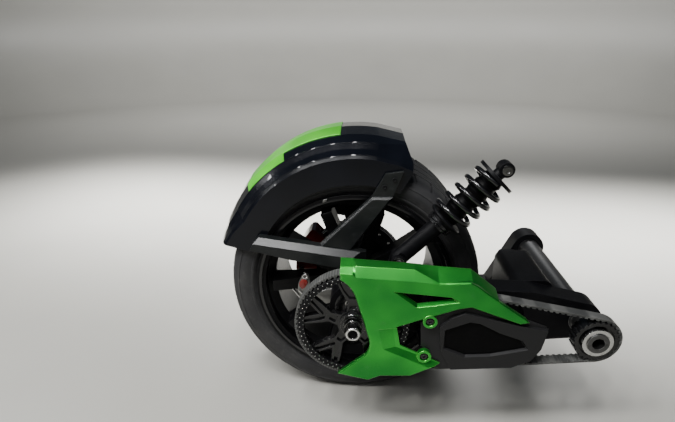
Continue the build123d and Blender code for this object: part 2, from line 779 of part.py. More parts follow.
# Lower shock clevis on top of the right arm, and its bolt
clevis_half = 34.0
clevis_floor = 12.0
ear_gap = shock_eye_width + 2 * seat_gap
ear_wall = 10.0
with BuildPart() as shock_clevis:
    with BuildSketch(outline(shock_offset - ear_gap / 2 - ear_wall)):
        with BuildLine():
            Polyline(
                (shock_lower[0] - clevis_half, arm_top(shock_lower[0] - clevis_half) + seat_gap),
                (shock_lower[0] + clevis_half, arm_top(shock_lower[0] + clevis_half) + seat_gap),
                (shock_lower[0] + 17, shock_lower[1]),
                (shock_lower[0] - 17, shock_lower[1]),
                close=True,
            )
        make_face()
        with Locations(shock_lower):
            Circle(17)
            Circle(shock_bolt_radius + seat_gap, mode=Mode.SUBTRACT)
    extrude(amount=ear_gap + 2 * ear_wall)
    with BuildSketch(outline(shock_offset - ear_gap / 2)):
        with Locations((shock_lower[0], shock_lower[1] + 20)):
            Rectangle(100, 2 * (shock_lower[1] + 20 - arm_top(shock_lower[0]) - clevis_floor))
    extrude(amount=ear_gap, mode=Mode.SUBTRACT)
shock_clevis.part.label = "shock_clevis"
export_step(shock_clevis.part, "parts/shock_clevis.step")

with BuildPart() as shock_bolt:
    bolt_half = ear_gap / 2 + ear_wall + seat_gap
    with BuildSketch(outline(shock_offset - bolt_half - 9)):
        with Locations(shock_lower):
            RegularPolygon(12, 6)
    extrude(amount=9)
    with BuildSketch(outline(shock_offset - bolt_half)):
        with Locations(shock_lower):
            Circle(shock_bolt_radius)
    extrude(amount=2 * bolt_half)
    with BuildSketch(outline(shock_offset + bolt_half)):
        with Locations(shock_lower):
            RegularPolygon(12, 6)
    extrude(amount=9)
shock_bolt.part.label = "shock_bolt"
export_step(shock_bolt.part, "parts/shock_bolt.step")

# Hugger: a folded shell turned over the tyre, boxed at its rear corner and flared at its front
hub = axle + Vector(hugger_centre[0], 0, hugger_centre[1])
hugger_axis = Axis(hub, (0, -1, 0))
hugger_side = tyre_width / 2 + hugger_clearance + hugger_wall
# Folds from the crown to the lower edge: in from the side wall, down from the crown
hugger_folds = ((82, 5), (44, 18), (29, 31), (8, 42), (1, 50), (0, 118))
# Where the section changes: angle it changes from, then each further angle with its own folds
hugger_ends = (
    (
        82.0,
        (
            (71.5, ((82, 4), (66, 8), (24, 34), (8, 42), (1, 50), (0, 118))),
            (64.0, ((82, 4), (68, 7), (22, 36), (8, 42), (1, 50), (0, 118))),
        ),
    ),
    (
        151.0,
        (
            (158.0, ((76, 4), (40, 12), (22, 22), (7, 29), (1, 36), (0, 116))),
            (165.0, ((70, 2), (36, 8), (16, 13), (6, 18), (1, 24), (0, 98))),
        ),
    ),
)


# Slanting front end: angle from straight ahead, and down from the crown
front_cut = ((72.0, -30), (71.5, 2), (66.5, 36), (65.2, 60), (66.6, 122), (60.0, 140), (55.0, -30))


def hugger_point(angle, drop):
    """Point beside the hugger, forward and up from its centre."""
    out = hugger_crown_radius - drop
    return out * cos(radians(angle)), out * sin(radians(angle))


def hugger_plane(angle):
    """Radial plane of the hugger: to the right, and out from its centre."""
    out = Vector(cos(radians(angle)), 0, sin(radians(angle)))
    return Plane(origin=hub, x_dir=(0, -1, 0), z_dir=Vector(0, -1, 0).cross(out))


def fold_course(folds, raised):
    """Points of a section from left to right, raised square off the hugger's outer face."""
    half = [Vector(hugger_side - inset, hugger_crown_radius - drop) for inset, drop in folds]
    course = [Vector(-point.X, point.Y) for point in reversed(half)]
    course += [Vector(0, hugger_crown_radius), *half]
    ways = [(after - before).normalized() for before, after in zip(course, course[1:])]
    squares = [Vector(-way.Y, way.X) for way in ways]
    corners = zip(course, squares[:1] + squares, squares + squares[-1:])
    return [point + (first + last) * (raised / (1 + first.dot(last))) for point, first, last in corners]


def fold_section(folds, low, high):
    """Closed section between two heights off the hugger's outer face, in the running sketch."""
    Polygon(*fold_course(folds, high), *reversed(fold_course(folds, low)), align=None)


with BuildPart() as hugger:
    with BuildSketch(hugger_plane(hugger_ends[0][0])):
        fold_section(hugger_folds, -hugger_wall, 0)
    revolve(axis=hugger_axis, revolution_arc=hugger_ends[1][0] - hugger_ends[0][0])
    for turn, sections in hugger_ends:
        for angle, folds in ((turn, hugger_folds), *sections):
            with BuildSketch(hugger_plane(angle)):
                fold_section(folds, -hugger_wall, 0)
        loft(ruled=True)
    with BuildSketch(outline(-hugger_side - 1)):
        with Locations(hugger_centre):
            Polygon(*[hugger_point(*corner) for corner in front_cut], align=None)
    extrude(amount=2 * (hugger_side + 1), mode=Mode.SUBTRACT)
hugger.part.label = "hugger"
export_step(hugger.part, "parts/hugger.step")

# Coloured strip over the crown's first fold, and over two of them behind its step
with BuildPart() as hugger_crown:
    for count, start, end in ((1, strip_start, strip_step), (2, strip_step, strip_end)):
        with BuildSketch(hugger_plane(start)):
            fold_section(hugger_folds[:count], seat_gap, seat_gap + strip_wall)
        revolve(axis=hugger_axis, revolution_arc=end - start)
hugger_crown.part.label = "hugger_crown"
export_step(hugger_crown.part, "parts/hugger_crown.step")

# Side rails: boxes from the arm back to the hugger's rear corner, cut slantwise at the front
rail_inner = hugger_side + seat_gap
rail_outer = rail_inner + rail_width
rail_outline = (
    (-272, 133),
    (-262, 152),
    rail_top_back,
    rail_top_front,
    (rail_top_front[0], arm_eye_radius + seat_gap),
    (-34, arm_eye_radius + seat_gap),
    (-38, 88),
    (-168, 108),
)


def rail_top(forward):
    """Height of the rail's upper face above the axle."""
    share = (forward - rail_top_back[0]) / (rail_top_front[0] - rail_top_back[0])
    return rail_top_back[1] + share * (rail_top_front[1] - rail_top_back[1])


with BuildPart() as hugger_rail_right:
    with BuildSketch(outline(rail_inner)):
        Polygon(*rail_outline, align=None)
    extrude(amount=rail_width)
    upper = hugger_rail_right.faces().filter_by(Axis.Y, reverse=True).sort_by(SortBy.AREA)[-1]
    chamfer(upper.edges().filter_by(Axis.Y, reverse=True).sort_by(Axis.Y)[0], rail_edge)
    with BuildSketch(outline(arm_inner - seat_gap)):
        with Locations((0, arm_eye_radius - 10)):
            Rectangle(100, 40, align=(Align.CENTER, Align.MAX))
    extrude(amount=-40, mode=Mode.SUBTRACT)
    with BuildSketch(Plane.XY.offset(axle_rise)):
        with BuildLine():
            Polyline(
                (rail_top_front[0] - arm_reach + 1, -rail_inner - rail_width / 3),
                (rail_top_front[0] - arm_reach + 1, -rail_outer - 1),
                (rail_top_front[0] - arm_reach - 38, -rail_outer - 1),
                close=True,
            )
        make_face()
    extrude(amount=2 * arm_eye_radius + 60, mode=Mode.SUBTRACT)
hugger_rail_right.part.label = "hugger_rail_right"
export_step(hugger_rail_right.part, "parts/hugger_rail_right.step")

with BuildPart() as hugger_rail_left:
    mirror(hugger_rail_right.part, about=Plane.XZ)
hugger_rail_left.part.label = "hugger_rail_left"
export_step(hugger_rail_left.part, "parts/hugger_rail_left.step")

# Braces from the rails up to the hugger's side walls
brace_foot = ((-91, rail_top(-91) + seat_gap), (-7, rail_top(-7) + seat_gap))
brace_kink = ((69.7, 127), (81.3, 141))
brace_pad = (*brace_kink, (77.0, 76), (69.8, 57))


def hugger_side_points(corners):
    """Points beside the hugger as seen from the axle."""
    places = [hugger_point(*corner) for corner in corners]
    return [(hugger_centre[0] + forward, hugger_centre[1] + up) for forward, up in places]


with BuildPart() as hugger_brace_right:
    with BuildSketch(outline(rail_inner)):
        Polygon(*brace_foot, *hugger_side_points(brace_kink), align=None)
    extrude(amount=brace_thickness)
    outer = hugger_brace_right.faces().sort_by(Axis.Y)[0]
    chamfer(outer.edges().sort_by(Axis.Z)[1:], brace_edge)
    with BuildSketch(outline(rail_inner)):
        Polygon(*hugger_side_points(brace_pad), align=None)
    extrude(amount=pad_thickness)
hugger_brace_right.part.label = "hugger_brace_right"
export_step(hugger_brace_right.part, "parts/hugger_brace_right.step")

with BuildPart() as hugger_brace_left:
    mirror(hugger_brace_right.part, about=Plane.XZ)
hugger_brace_left.part.label = "hugger_brace_left"
export_step(hugger_brace_left.part, "parts/hugger_brace_left.step")

# Upper belt guard: a bevelled side plate with a folded upper edge over the belt
guard_back = pulley_far + guard_clearance
guard_face = guard_back + guard_depth
# Straight runs of the plate's outline, from the tip back along the top, then its lower side
guard_top = ((411, 31), (402, 41), (336, 86), (285, 124), (267, 134), (195, 130), (138, 134), (4, 141), (-2, 149), (-31, 151))
guard_low = (
    (-36, -131),
    (39, -148),
    (69, -134),
    (143, -131),
    (178, -113),
    (214, -94),
    (114, -45),
    (104, 9),
    (157, 30),
    (247, 63),
    (274, 68),
    (390, 26),
)
guard_window = ((93, 106), (226, 95), (246, 82), (148, 65))
guard_bosses = ((181, 28), (173, -71))
# Recess beside the gap: forward and up at the plate's face, and at the recess's floor
recess_face = ((60, 2), (73, -53), (186, -104), (230, -90), (130, 12))
recess_floor = ((96, 2), (104, -50), (222, -98), (230, -90), (130, 12))
# Ahead of the axle, top of the plate, then how far in and how high the facet and the lip lie
guard_folds = (
    (-31, 150, 18, 160, 44, 170),
    (-2, 148, 18, 159, 44, 169),
    (4, 140, 14, 163, 44, 167),
    (140, 133, 15, 157, 44, 159),
    (195, 128, 3, 131, 44, 153),
    (272, 127, 3, 130, 44, 148),
    (335, 85, 3, 88, 44, 98),
)
with BuildSketch() as guard_plate:
    with BuildLine():
        Polyline(*guard_top)
        Line(guard_top[-1], (-31, 132))
        ThreePointArc((-31, 132), (-10, 115), (4, 92))
        Line((4, 92), (38, -24))
        ThreePointArc((38, -24), (40, -50), (30, -73))
        Line((30, -73), guard_low[0])
        Polyline(*guard_low, guard_top[0])
    make_face()

with BuildPart() as belt_guard:
    with BuildSketch(outline(guard_back)):
        add(guard_plate.sketch)
    extrude(amount=guard_depth - guard_edge)
    with BuildSketch(outline(guard_face - guard_edge)):
        add(guard_plate.sketch)
    extrude(amount=guard_edge, taper=45)
    with BuildSketch(outline(guard_face + 0.1)):
        Polygon(*recess_face, align=None)
    with BuildSketch(outline(guard_face - guard_recess_depth)):
        Polygon(*recess_floor, align=None)
    loft(ruled=True, mode=Mode.SUBTRACT)
    with BuildSketch(outline(guard_back)):
        for place in guard_bosses:
            with Locations(place):
                Circle(boss_radius)
    extrude(amount=guard_depth + 1)
    with BuildSketch(outline(guard_face + 1 - boss_cup_depth)):
        for place in guard_bosses:
            with Locations(place):
                Circle(boss_cup_radius)
    extrude(amount=boss_cup_depth, mode=Mode.SUBTRACT)
    with BuildSketch(outline(guard_back)):
        for place in guard_bosses:
            with Locations(place):
                Circle(boss_hole_radius)
    extrude(amount=guard_depth, mode=Mode.SUBTRACT)
    with BuildSketch(outline(guard_back)):
        with BuildLine():
            Polyline((-24, 128), (6, 112), (18, 66), (80, 92), (118, 60), (190, 58), (252, 76), close=False)
            Polyline((252, 76), (330, 66), (322, 84), (270, 118), (190, 122), (-24, 138), (-24, 128))
        make_face()
        Polygon(*guard_window, align=None, mode=Mode.SUBTRACT)
    extrude(amount=guard_depth - guard_wall, mode=Mode.SUBTRACT)
    with BuildSketch(outline(guard_face)):
        Polygon(*guard_window, align=None)
    extrude(amount=-guard_depth, taper=25, mode=Mode.SUBTRACT)
    for forward, top, facet_in, facet_top, lip_in, lip_top in guard_folds:
        with BuildSketch(Plane(axle + Vector(forward, 0, 0), x_dir=(0, -1, 0), z_dir=(-1, 0, 0))):
            Polygon(
                (guard_face, top - 6),
                (guard_face, top),
                (guard_face - facet_in, facet_top),
                (guard_face - lip_in, lip_top),
                (guard_face - lip_in, lip_top - guard_wall),
                (guard_face - facet_in - guard_wall, facet_top - guard_wall),
                (guard_face - guard_wall, top - guard_wall),
                (guard_face - guard_wall, top - 6),
                align=None,
            )
    loft(ruled=True)
belt_guard.part.label = "belt_guard"
export_step(belt_guard.part, "parts/belt_guard.step")

# Lower belt guard: a plate behind the upper one, raised where it shows, with a sloping recess
lower_guard_face = guard_back - seat_gap
lower_guard_back = lower_guard_face - lower_guard_wall
lower_guard_outline = (
    (161, 18),
    (192, 40),
    (391, 24),
    (461, 9),
    (451, -44),
    (430, -80),
    (385, -102),
    (216, -115),
    (190, -100),
    (165, -44),
)
lower_guard_raised = (
    (232, 36),
    (262, 50),
    (391, 20),
    (458, 8),
    (449, -44),
    (428, -78),
    (384, -99),
    (240, -110),
    (214, -60),
    (206, 10),
)
recess = ((218, 3), (275, 27), (298, 24), (347, -1), (404, -21), (419, -46), (332, -67), (272, -72), (218, -51))
with BuildPart() as lower_guard:
    with BuildSketch(outline(lower_guard_back)):
        Polygon(*lower_guard_outline, align=None)
    extrude(amount=lower_guard_wall)
    with BuildSketch(outline(lower_guard_face)):
        Polygon(*lower_guard_raised, align=None)
        Polygon(*guard_low[-3:], (411, 31), (390, 60), (260, 90), align=None, mode=Mode.SUBTRACT)
    extrude(amount=lower_guard_raise)
    with BuildSketch(outline(lower_guard_face + lower_guard_raise)):
        Polygon(*recess, align=None)
    extrude(amount=-lower_guard_raise, taper=20, mode=Mode.SUBTRACT)
lower_guard.part.label = "lower_guard"
export_step(lower_guard.part, "parts/lower_guard.step")

# Pillars from the arm to the guards, inside the belt's loop
pillar_places = (*guard_bosses, (380, -18))
for number, place in enumerate(pillar_places, 1):
    with BuildPart() as pillar:
        with BuildSketch(outline(arm_outer + seat_gap)):
            with Locations(place):
                Circle(9)
        extrude(amount=lower_guard_back - seat_gap - arm_outer - seat_gap)
    pillar.part.label = f"guard_pillar_{number}"
    export_step(pillar.part, f"parts/guard_pillar_{number}.step")
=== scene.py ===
"""Studio scene of a three-wheeled roadster's rear wheel and swingarm unit, dressed round its fixed frame."""

import json
import logging
import math
from dataclasses import dataclass, field
from enum import Enum
from typing import Callable, Sequence

import bpy
from mathutils import Matrix, Vector


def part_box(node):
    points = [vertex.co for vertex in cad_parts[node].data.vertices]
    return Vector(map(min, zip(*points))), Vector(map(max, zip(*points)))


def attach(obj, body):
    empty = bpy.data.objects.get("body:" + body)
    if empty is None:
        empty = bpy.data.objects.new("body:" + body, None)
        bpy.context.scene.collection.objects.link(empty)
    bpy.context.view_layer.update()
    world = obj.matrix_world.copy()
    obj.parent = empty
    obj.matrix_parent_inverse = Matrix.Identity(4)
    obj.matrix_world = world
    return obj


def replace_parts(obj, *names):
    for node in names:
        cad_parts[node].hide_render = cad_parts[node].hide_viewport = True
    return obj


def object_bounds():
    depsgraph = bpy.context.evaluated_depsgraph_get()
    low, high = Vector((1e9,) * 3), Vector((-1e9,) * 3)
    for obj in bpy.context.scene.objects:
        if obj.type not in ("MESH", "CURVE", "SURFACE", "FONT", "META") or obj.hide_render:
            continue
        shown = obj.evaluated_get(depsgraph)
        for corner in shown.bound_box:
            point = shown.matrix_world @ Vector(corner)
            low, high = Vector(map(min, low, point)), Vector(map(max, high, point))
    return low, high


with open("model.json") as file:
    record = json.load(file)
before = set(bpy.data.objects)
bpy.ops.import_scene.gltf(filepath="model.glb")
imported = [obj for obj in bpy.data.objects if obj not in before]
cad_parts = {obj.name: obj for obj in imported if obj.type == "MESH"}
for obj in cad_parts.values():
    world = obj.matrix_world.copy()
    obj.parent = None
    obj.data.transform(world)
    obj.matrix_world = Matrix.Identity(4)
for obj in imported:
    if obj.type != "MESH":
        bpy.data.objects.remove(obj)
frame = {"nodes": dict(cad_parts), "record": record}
CAD_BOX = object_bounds()

Colour = tuple[float, float, float]
Place = tuple[float, float, float]
Sizes = tuple[float, float, float]
Pair = tuple[float, float]
Table = tuple[Pair, ...]
Piece = bpy.types.Object
Face = bpy.types.MeshPolygon
Socket = bpy.types.NodeSocket

LOG = logging.getLogger("rear_unit")
RIGHT = Vector((0, -1, 0))
LEFT = Vector((0, 1, 0))
SIDES = ((-1, RIGHT), (1, LEFT))
MERGE_WITHIN = 0.00001


def middle(node: str) -> Vector:
    """Middle of a node's box at rest."""
    low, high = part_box(node)
    return (low + high) / 2


def half_size(node: str) -> Pair:
    """Half the width of a node, and half its length, which is the radius of a round one."""
    low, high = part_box(node)
    return (high.y - low.y) / 2, (high.x - low.x) / 2


AXLE = middle("rim").xz
PIVOT = middle("pivot_collar").xz


def from_axle(out: float, turn: float, across: float) -> Vector:
    """Place at a distance and an angle from the axle.

    Args:
        out: Distance from the axle.
        turn: Angle from straight ahead, over the top, in degrees.
        across: Y of the place.

    Returns:
        The place.
    """
    angle = math.radians(turn)
    return Vector((AXLE[0] + out * math.cos(angle), across, AXLE[1] + out * math.sin(angle)))


def polar(place: Vector) -> Pair:
    """Distance of a place from the axle, and its angle in radians from straight ahead."""
    forward, up = place.x - AXLE[0], place.z - AXLE[1]
    return math.hypot(forward, up), math.atan2(up, forward)


def beside_axle(places: Table) -> list[Pair]:
    """X and Z of places that are given forward and up from the axle."""
    return [(AXLE[0] + forward, AXLE[1] + up) for forward, up in places]


# Shader maths


def operator(operation: str, reflected: bool = False) -> Callable[["Flow", "Flow | float"], "Flow"]:
    """Makes the method behind one of Python's operators.

    Args:
        operation: Name of the Math node's operation.
        reflected: Whether the other value comes first.

    Returns:
        The method.
    """

    def method(flow: "Flow", other: "Flow | float") -> "Flow":
        """Adds the operator's Math node."""
        return flow.maths(operation, other, flow) if reflected else flow.maths(operation, flow, other)

    return method


class Flow:
    """A number that flows between nodes. A comparison gives 1 where it holds and 0 elsewhere."""

    __add__ = operator("ADD")
    __radd__ = operator("ADD", reflected=True)
    __sub__ = operator("SUBTRACT")
    __rsub__ = operator("SUBTRACT", reflected=True)
    __mul__ = operator("MULTIPLY")
    __pow__ = operator("POWER")
    __gt__ = operator("GREATER_THAN")
    __lt__ = operator("LESS_THAN")

    def __init__(self, recipe: "Recipe", socket: Socket) -> None:
        """Wraps an output socket of a recipe's node tree."""
        self.recipe = recipe
        self.socket = socket

    def maths(self, operation: str, *values: "Flow | float") -> "Flow":
        """Adds a Math node with these inputs."""
        node = self.recipe.node("ShaderNodeMath", {"operation": operation}, dict(enumerate(values)))
        return Flow(self.recipe, node.outputs[0])

    def sine(self) -> "Flow":
        """Sine, in radians."""
        return self.maths("SINE", self)

    def size(self) -> "Flow":
        """Absolute value."""
        return self.maths("ABSOLUTE", self)

    def turn_from(self, other: "Flow") -> "Flow":
        """Angle of the direction whose rise is this and whose run is the other."""
        return self.maths("ARCTAN2", self, other)

    def between(self, low: float, high: float) -> "Flow":
        """Rises smoothly from 0 at one value to 1 at another.

        Args:
            low: Value that gives 0.
            high: Value that gives 1.

        Returns:
            The smooth step.
        """
        limits = {"Value": self, "From Min": low, "From Max": high}
        node = self.recipe.node("ShaderNodeMapRange", {"interpolation_type": "SMOOTHSTEP"}, limits)
        return Flow(self.recipe, node.outputs["Result"])


class Recipe:
    """Node tree of one material, and the methods that add nodes to it."""

    def __init__(self, name: str) -> None:
        """Starts an empty material.

        Args:
            name: Name of the material.
        """
        self.material = bpy.data.materials.new(name)
        self.material.use_nodes = True
        self.tree = self.material.node_tree
        self.tree.nodes.clear()
        self.place = self.node("ShaderNodeTexCoord").outputs["Object"]

    def node(self, kind: str, settings: dict | None = None, inputs: dict | None = None) -> bpy.types.Node:
        """Adds a node.

        Args:
            kind: Blender's name of the node type.
            settings: Properties that are set first.
            inputs: Values or links, by the socket's name or number.

        Returns:
            The new node.
        """
        made = self.tree.nodes.new(kind)
        for key, value in (settings or {}).items():
            setattr(made, key, value)
        for key, value in (inputs or {}).items():
            self.join(value, made.inputs[key])
        return made

    def join(self, value: object, socket: Socket) -> None:
        """Sets a socket, or links something to it.

        Args:
            value: Flow, output socket, colour, vector or number.
            socket: Input that takes it.
        """
        if isinstance(value, Flow):
            value = value.socket
        if isinstance(value, Socket):
            self.tree.links.new(value, socket)
        elif isinstance(value, tuple) and socket.type == "RGBA":
            socket.default_value = (*value, 1.0)
        else:
            socket.default_value = value

    def axis(self, letter: str) -> Flow:
        """The X, Y or Z of the place on the object, in metres."""
        return Flow(self, self.node("ShaderNodeSeparateXYZ", inputs={0: self.place}).outputs[letter])

    def from_centre(self, centre: Vector) -> tuple[Flow, Flow]:
        """Distance and angle about a line along Y.

        Args:
            centre: X and Z of the line.

        Returns:
            Distance in metres and angle in radians.
        """
        x = self.axis("X") - centre[0]
        z = self.axis("Z") - centre[1]
        return (x * x + z * z) ** 0.5, z.turn_from(x)

    def noise(self, waves: float, detail: float = 3.0, stretch: Place = (1, 1, 1)) -> Flow:
        """Noise from 0 to 1.

        Args:
            waves: Waves in a metre.
            detail: Octaves.
            stretch: How much finer it is along each axis.

        Returns:
            The noise.
        """
        turned = self.node("ShaderNodeMapping", inputs={"Vector": self.place, "Scale": stretch})
        grain = {"Vector": turned.outputs[0], "Scale": waves, "Detail": detail, "Roughness": 0.55}
        return Flow(self, self.node("ShaderNodeTexNoise", inputs=grain).outputs[0])

    def flakes(self, scale: float) -> Flow:
        """A random number for each Voronoi cell, with so many cells in a metre."""
        cells = self.node("ShaderNodeTexVoronoi", inputs={"Vector": self.place, "Scale": scale})
        return Flow(self, self.node("ShaderNodeSeparateXYZ", inputs={0: cells.outputs["Color"]}).outputs["X"])

    def mix(self, share: "Flow | float", first: object, second: object) -> Socket:
        """Mixes two colours or links, the second by the share."""
        return self.node("ShaderNodeMix", {"data_type": "RGBA"}, {0: share, 6: first, 7: second}).outputs[2]

    def soft_edges(self, radius: float) -> Socket:
        """Normal that rounds the object's sharp edges to a radius in metres."""
        return self.node("ShaderNodeBevel", {"samples": 6}, {"Radius": radius}).outputs[0]

    def edge_highlight_mask(self, rounded: Socket) -> Flow:
        """Mask that is 1 along sharp edges, where finishes mix in a painted highlight.

        Args:
            rounded: Normal from soft_edges.

        Returns:
            The mask.
        """
        flat = self.node("ShaderNodeNewGeometry").outputs["Normal"]
        both = self.node("ShaderNodeVectorMath", {"operation": "DOT_PRODUCT"}, {0: rounded, 1: flat})
        return (1.0 - Flow(self, both.outputs["Value"])).between(0.01, 0.16)

    def bump(self, height: Flow, depth: float, normal: Socket | None = None) -> Socket:
        """Normal raised by a height.

        Args:
            height: Height, about 0 to 1.
            depth: Distance that a height of 1 stands for, in metres.
            normal: Normal that it starts from.

        Returns:
            The bumped normal.
        """
        made = self.node("ShaderNodeBump", inputs={"Strength": 1.0, "Distance": depth, "Height": height})
        if normal is not None:
            self.join(normal, made.inputs["Normal"])
        return made.outputs[0]

    def finish(self, **sockets: object) -> bpy.types.Material:
        """Ends the material with one Principled shader.

        Args:
            sockets: Values or links by socket name, with an underscore for each space.

        Returns:
            The material.
        """
        named = {key.replace("_", " "): value for key, value in sockets.items()}
        shader = self.node("ShaderNodeBsdfPrincipled", inputs=named)
        self.node("ShaderNodeOutputMaterial", inputs={"Surface": shader.outputs[0]})
        return self.material


# Finishes: lengths are in metres, and waves and flakes are counted in a metre


@dataclass(frozen=True)
class Paint:
    """Glossy metallic paint under clear coat, with flake, soft orange peel, a little dust and a painted
    highlight along sharp edges.
    """

    name: str
    deep: Colour
    bright: Colour
    metallic: float = 0.4
    roughness: float = 0.32
    flake: float = 2600.0
    dusty: float = 1.0
    dust: Colour = (0.30, 0.31, 0.29)
    coat_index: float = 1.45
    coat: float = 0.9
    coat_roughness: float = 0.03
    specular: float = 0.1
    # Colour that sharp edges are mixed towards: a painted highlight on the green and black paints
    edges: Colour = (0.02, 0.02, 0.025)
    rounding: float = 0.0015
    cloud_waves: float = 7.0
    dust_waves: float = 34.0
    speck_waves: float = 900.0
    haze_waves: float = 60.0
    peel_waves: float = 420.0
    peel_depth: float = 0.00003

    def material(self) -> bpy.types.Material:
        """Builds the paint.

        Returns:
            The material.
        """
        mix = Recipe(self.name)
        rounded = mix.soft_edges(self.rounding)
        edge = mix.edge_highlight_mask(rounded)
        sparkle = mix.flakes(self.flake)
        cloud = mix.noise(self.cloud_waves, 2.0)
        body = mix.mix(cloud.between(0.3, 0.75) * 0.55 + sparkle * 0.25, self.deep, self.bright)
        specks = (mix.noise(self.speck_waves, 2.0) > 0.72) * 0.04
        dust = (mix.noise(self.dust_waves, 6.0).between(0.56, 0.8) * 0.05 + specks) * self.dusty
        return mix.finish(
            # Painted highlight: sharp edges are mixed towards the edge colour
            Base_Color=mix.mix(dust, mix.mix(edge * 0.7, body, self.edges), self.dust),
            Metallic=self.metallic,
            Roughness=self.roughness + mix.noise(self.haze_waves, 4.0) * 0.08 + dust,
            Specular_IOR_Level=self.specular,
            Coat_Weight=self.coat - dust,
            Coat_Roughness=self.coat_roughness,
            Coat_IOR=self.coat_index,
            Normal=mix.bump(mix.noise(self.peel_waves, 1.0), self.peel_depth, rounded),
        )


@dataclass(frozen=True)
class Plastic:
    """Moulded black or black powder coat: fine grain, faint scuffs, and pale edges that are a painted
    highlight.
    """

    name: str
    base: Colour
    worn_and_edge_highlight: Colour
    roughness: float = 0.5
    grain: float = 1400.0
    depth: float = 0.0001
    coat: float = 0.0
    coat_roughness: float = 0.06
    specular: float = 0.5
    metallic: float = 0.0
    # Share of the painted highlight along sharp edges
    edge: float = 0.5
    rounding: float = 0.0012
    scuff_waves: float = 46.0
    dust_waves: float = 11.0

    def material(self) -> bpy.types.Material:
        """Builds the plastic or powder coat.

        Returns:
            The material.
        """
        mix = Recipe(self.name)
        rounded = mix.soft_edges(self.rounding)
        edge = mix.edge_highlight_mask(rounded)
        scuff = mix.noise(self.scuff_waves, 8.0, (1, 1, 2.5)).between(0.52, 0.8)
        dust = mix.noise(self.dust_waves, 5.0).between(0.45, 0.85) * 0.12
        return mix.finish(
            # Painted highlight: sharp edges are mixed towards the pale colour, as scuffs and dust are
            Base_Color=mix.mix(edge * self.edge + scuff * 0.08 + dust * 0.4, self.base, self.worn_and_edge_highlight),
            Metallic=self.metallic,
            Roughness=self.roughness + scuff * 0.12 + dust * 0.4,
            Specular_IOR_Level=self.specular,
            Coat_Weight=self.coat,
            Coat_Roughness=self.coat_roughness,
            Normal=mix.bump(mix.noise(self.grain), self.depth, rounded),
        )


@dataclass(frozen=True)
class Metal:
    """Turned or plated steel: fine ring marks about an axis, stains and bright edges that are a painted
    highlight.

    Where it has bright rings, it is black beyond a given reach, and the rings stay pale: these rings are a
    painted highlight.
    """

    name: str
    base: Colour
    stain: Colour
    centre: Vector
    roughness: float = 0.25
    rings: float = 2400.0
    metallic: float = 1.0
    highlight_rings: tuple[float, ...] = ()
    ring_half: float = 0.0011
    dark_from: float = 0.05
    dark_tint: Colour = (0.012, 0.012, 0.013)
    # Colour of the painted highlight along sharp edges
    edge_highlight_colour: Colour = (0.85, 0.85, 0.84)
    rounding: float = 0.0008
    wobble_waves: float = 30.0
    stain_waves: float = 85.0
    ring_depth: float = 0.00001

    def material(self) -> bpy.types.Material:
        """Builds the metal.

        Returns:
            The material.
        """
        mix = Recipe(self.name)
        rounded = mix.soft_edges(self.rounding)
        edge = mix.edge_highlight_mask(rounded)
        reach, _ = mix.from_centre(self.centre)
        lathe = (reach * self.rings + mix.noise(self.wobble_waves) * 2.0).sine()
        spots = mix.noise(self.stain_waves, 7.0).between(0.5, 0.78)
        # Black beyond a given reach, save for thin pale rings that are a painted highlight
        darkened = (reach > self.dark_from) * (1.0 if self.highlight_rings else 0.0)
        for ring in self.highlight_rings:
            darkened = darkened * ((reach - ring).size() > self.ring_half)
        # Painted highlight: sharp edges are mixed towards a near-white colour
        colour = mix.mix(spots * 0.6, mix.mix(edge * 0.5, self.base, self.edge_highlight_colour), self.stain)
        return mix.finish(
            Base_Color=mix.mix(darkened, colour, self.dark_tint),
            Metallic=self.metallic,
            Roughness=self.roughness + spots * 0.25 + lathe * 0.03 + darkened * 0.2,
            Normal=mix.bump(lathe, self.ring_depth, rounded),
        )


@dataclass(frozen=True)
class Rubber:
    """Tyre rubber: dull, with fine pores, dust in the low places and rings about the axle; less dust on the
    tread paints the shade under the hugger.
    """

    name: str
    base: Colour = (0.012, 0.012, 0.013)
    dusty: Colour = (0.075, 0.072, 0.066)
    roughness: float = 0.62
    specular: float = 0.4
    dust_waves: float = 9.0
    scrub_waves: float = 55.0
    pore_waves: float = 700.0
    rings: float = 2200.0
    ringed: Pair = (0.285, 0.33)
    ribs: float = 420.0
    ribbed: Pair = (0.312, 0.322)
    tread_from: float = 0.326
    depth: float = 0.00016

    def material(self) -> bpy.types.Material:
        """Builds the rubber.

        Returns:
            The material.
        """
        mix = Recipe(self.name)
        reach, turn = mix.from_centre(AXLE)
        dust = mix.noise(self.dust_waves, 7.0).between(0.35, 0.85)
        scrub = mix.noise(self.scrub_waves, 6.0, (1, 3, 1)).between(0.5, 0.85)
        rings = (reach * self.rings).sine() * (reach < self.ringed[1]) * (reach > self.ringed[0])
        ribs = (turn * self.ribs).sine() * (reach > self.ribbed[0]) * (reach < self.ribbed[1])
        # Painted shade: the tread gets less dust, so it is darker, as if shaded by the hugger
        tread_shade = 1.0 - (reach > self.tread_from) * 0.85
        return mix.finish(
            Base_Color=mix.mix((dust * 0.35 + scrub * 0.3) * tread_shade, self.base, self.dusty),
            Roughness=self.roughness + dust * 0.2 - scrub * 0.05,
            Specular_IOR_Level=self.specular,
            Normal=mix.bump(mix.noise(self.pore_waves, 4.0) * 0.5 + rings * 0.35 + ribs * 0.5, self.depth),
        )


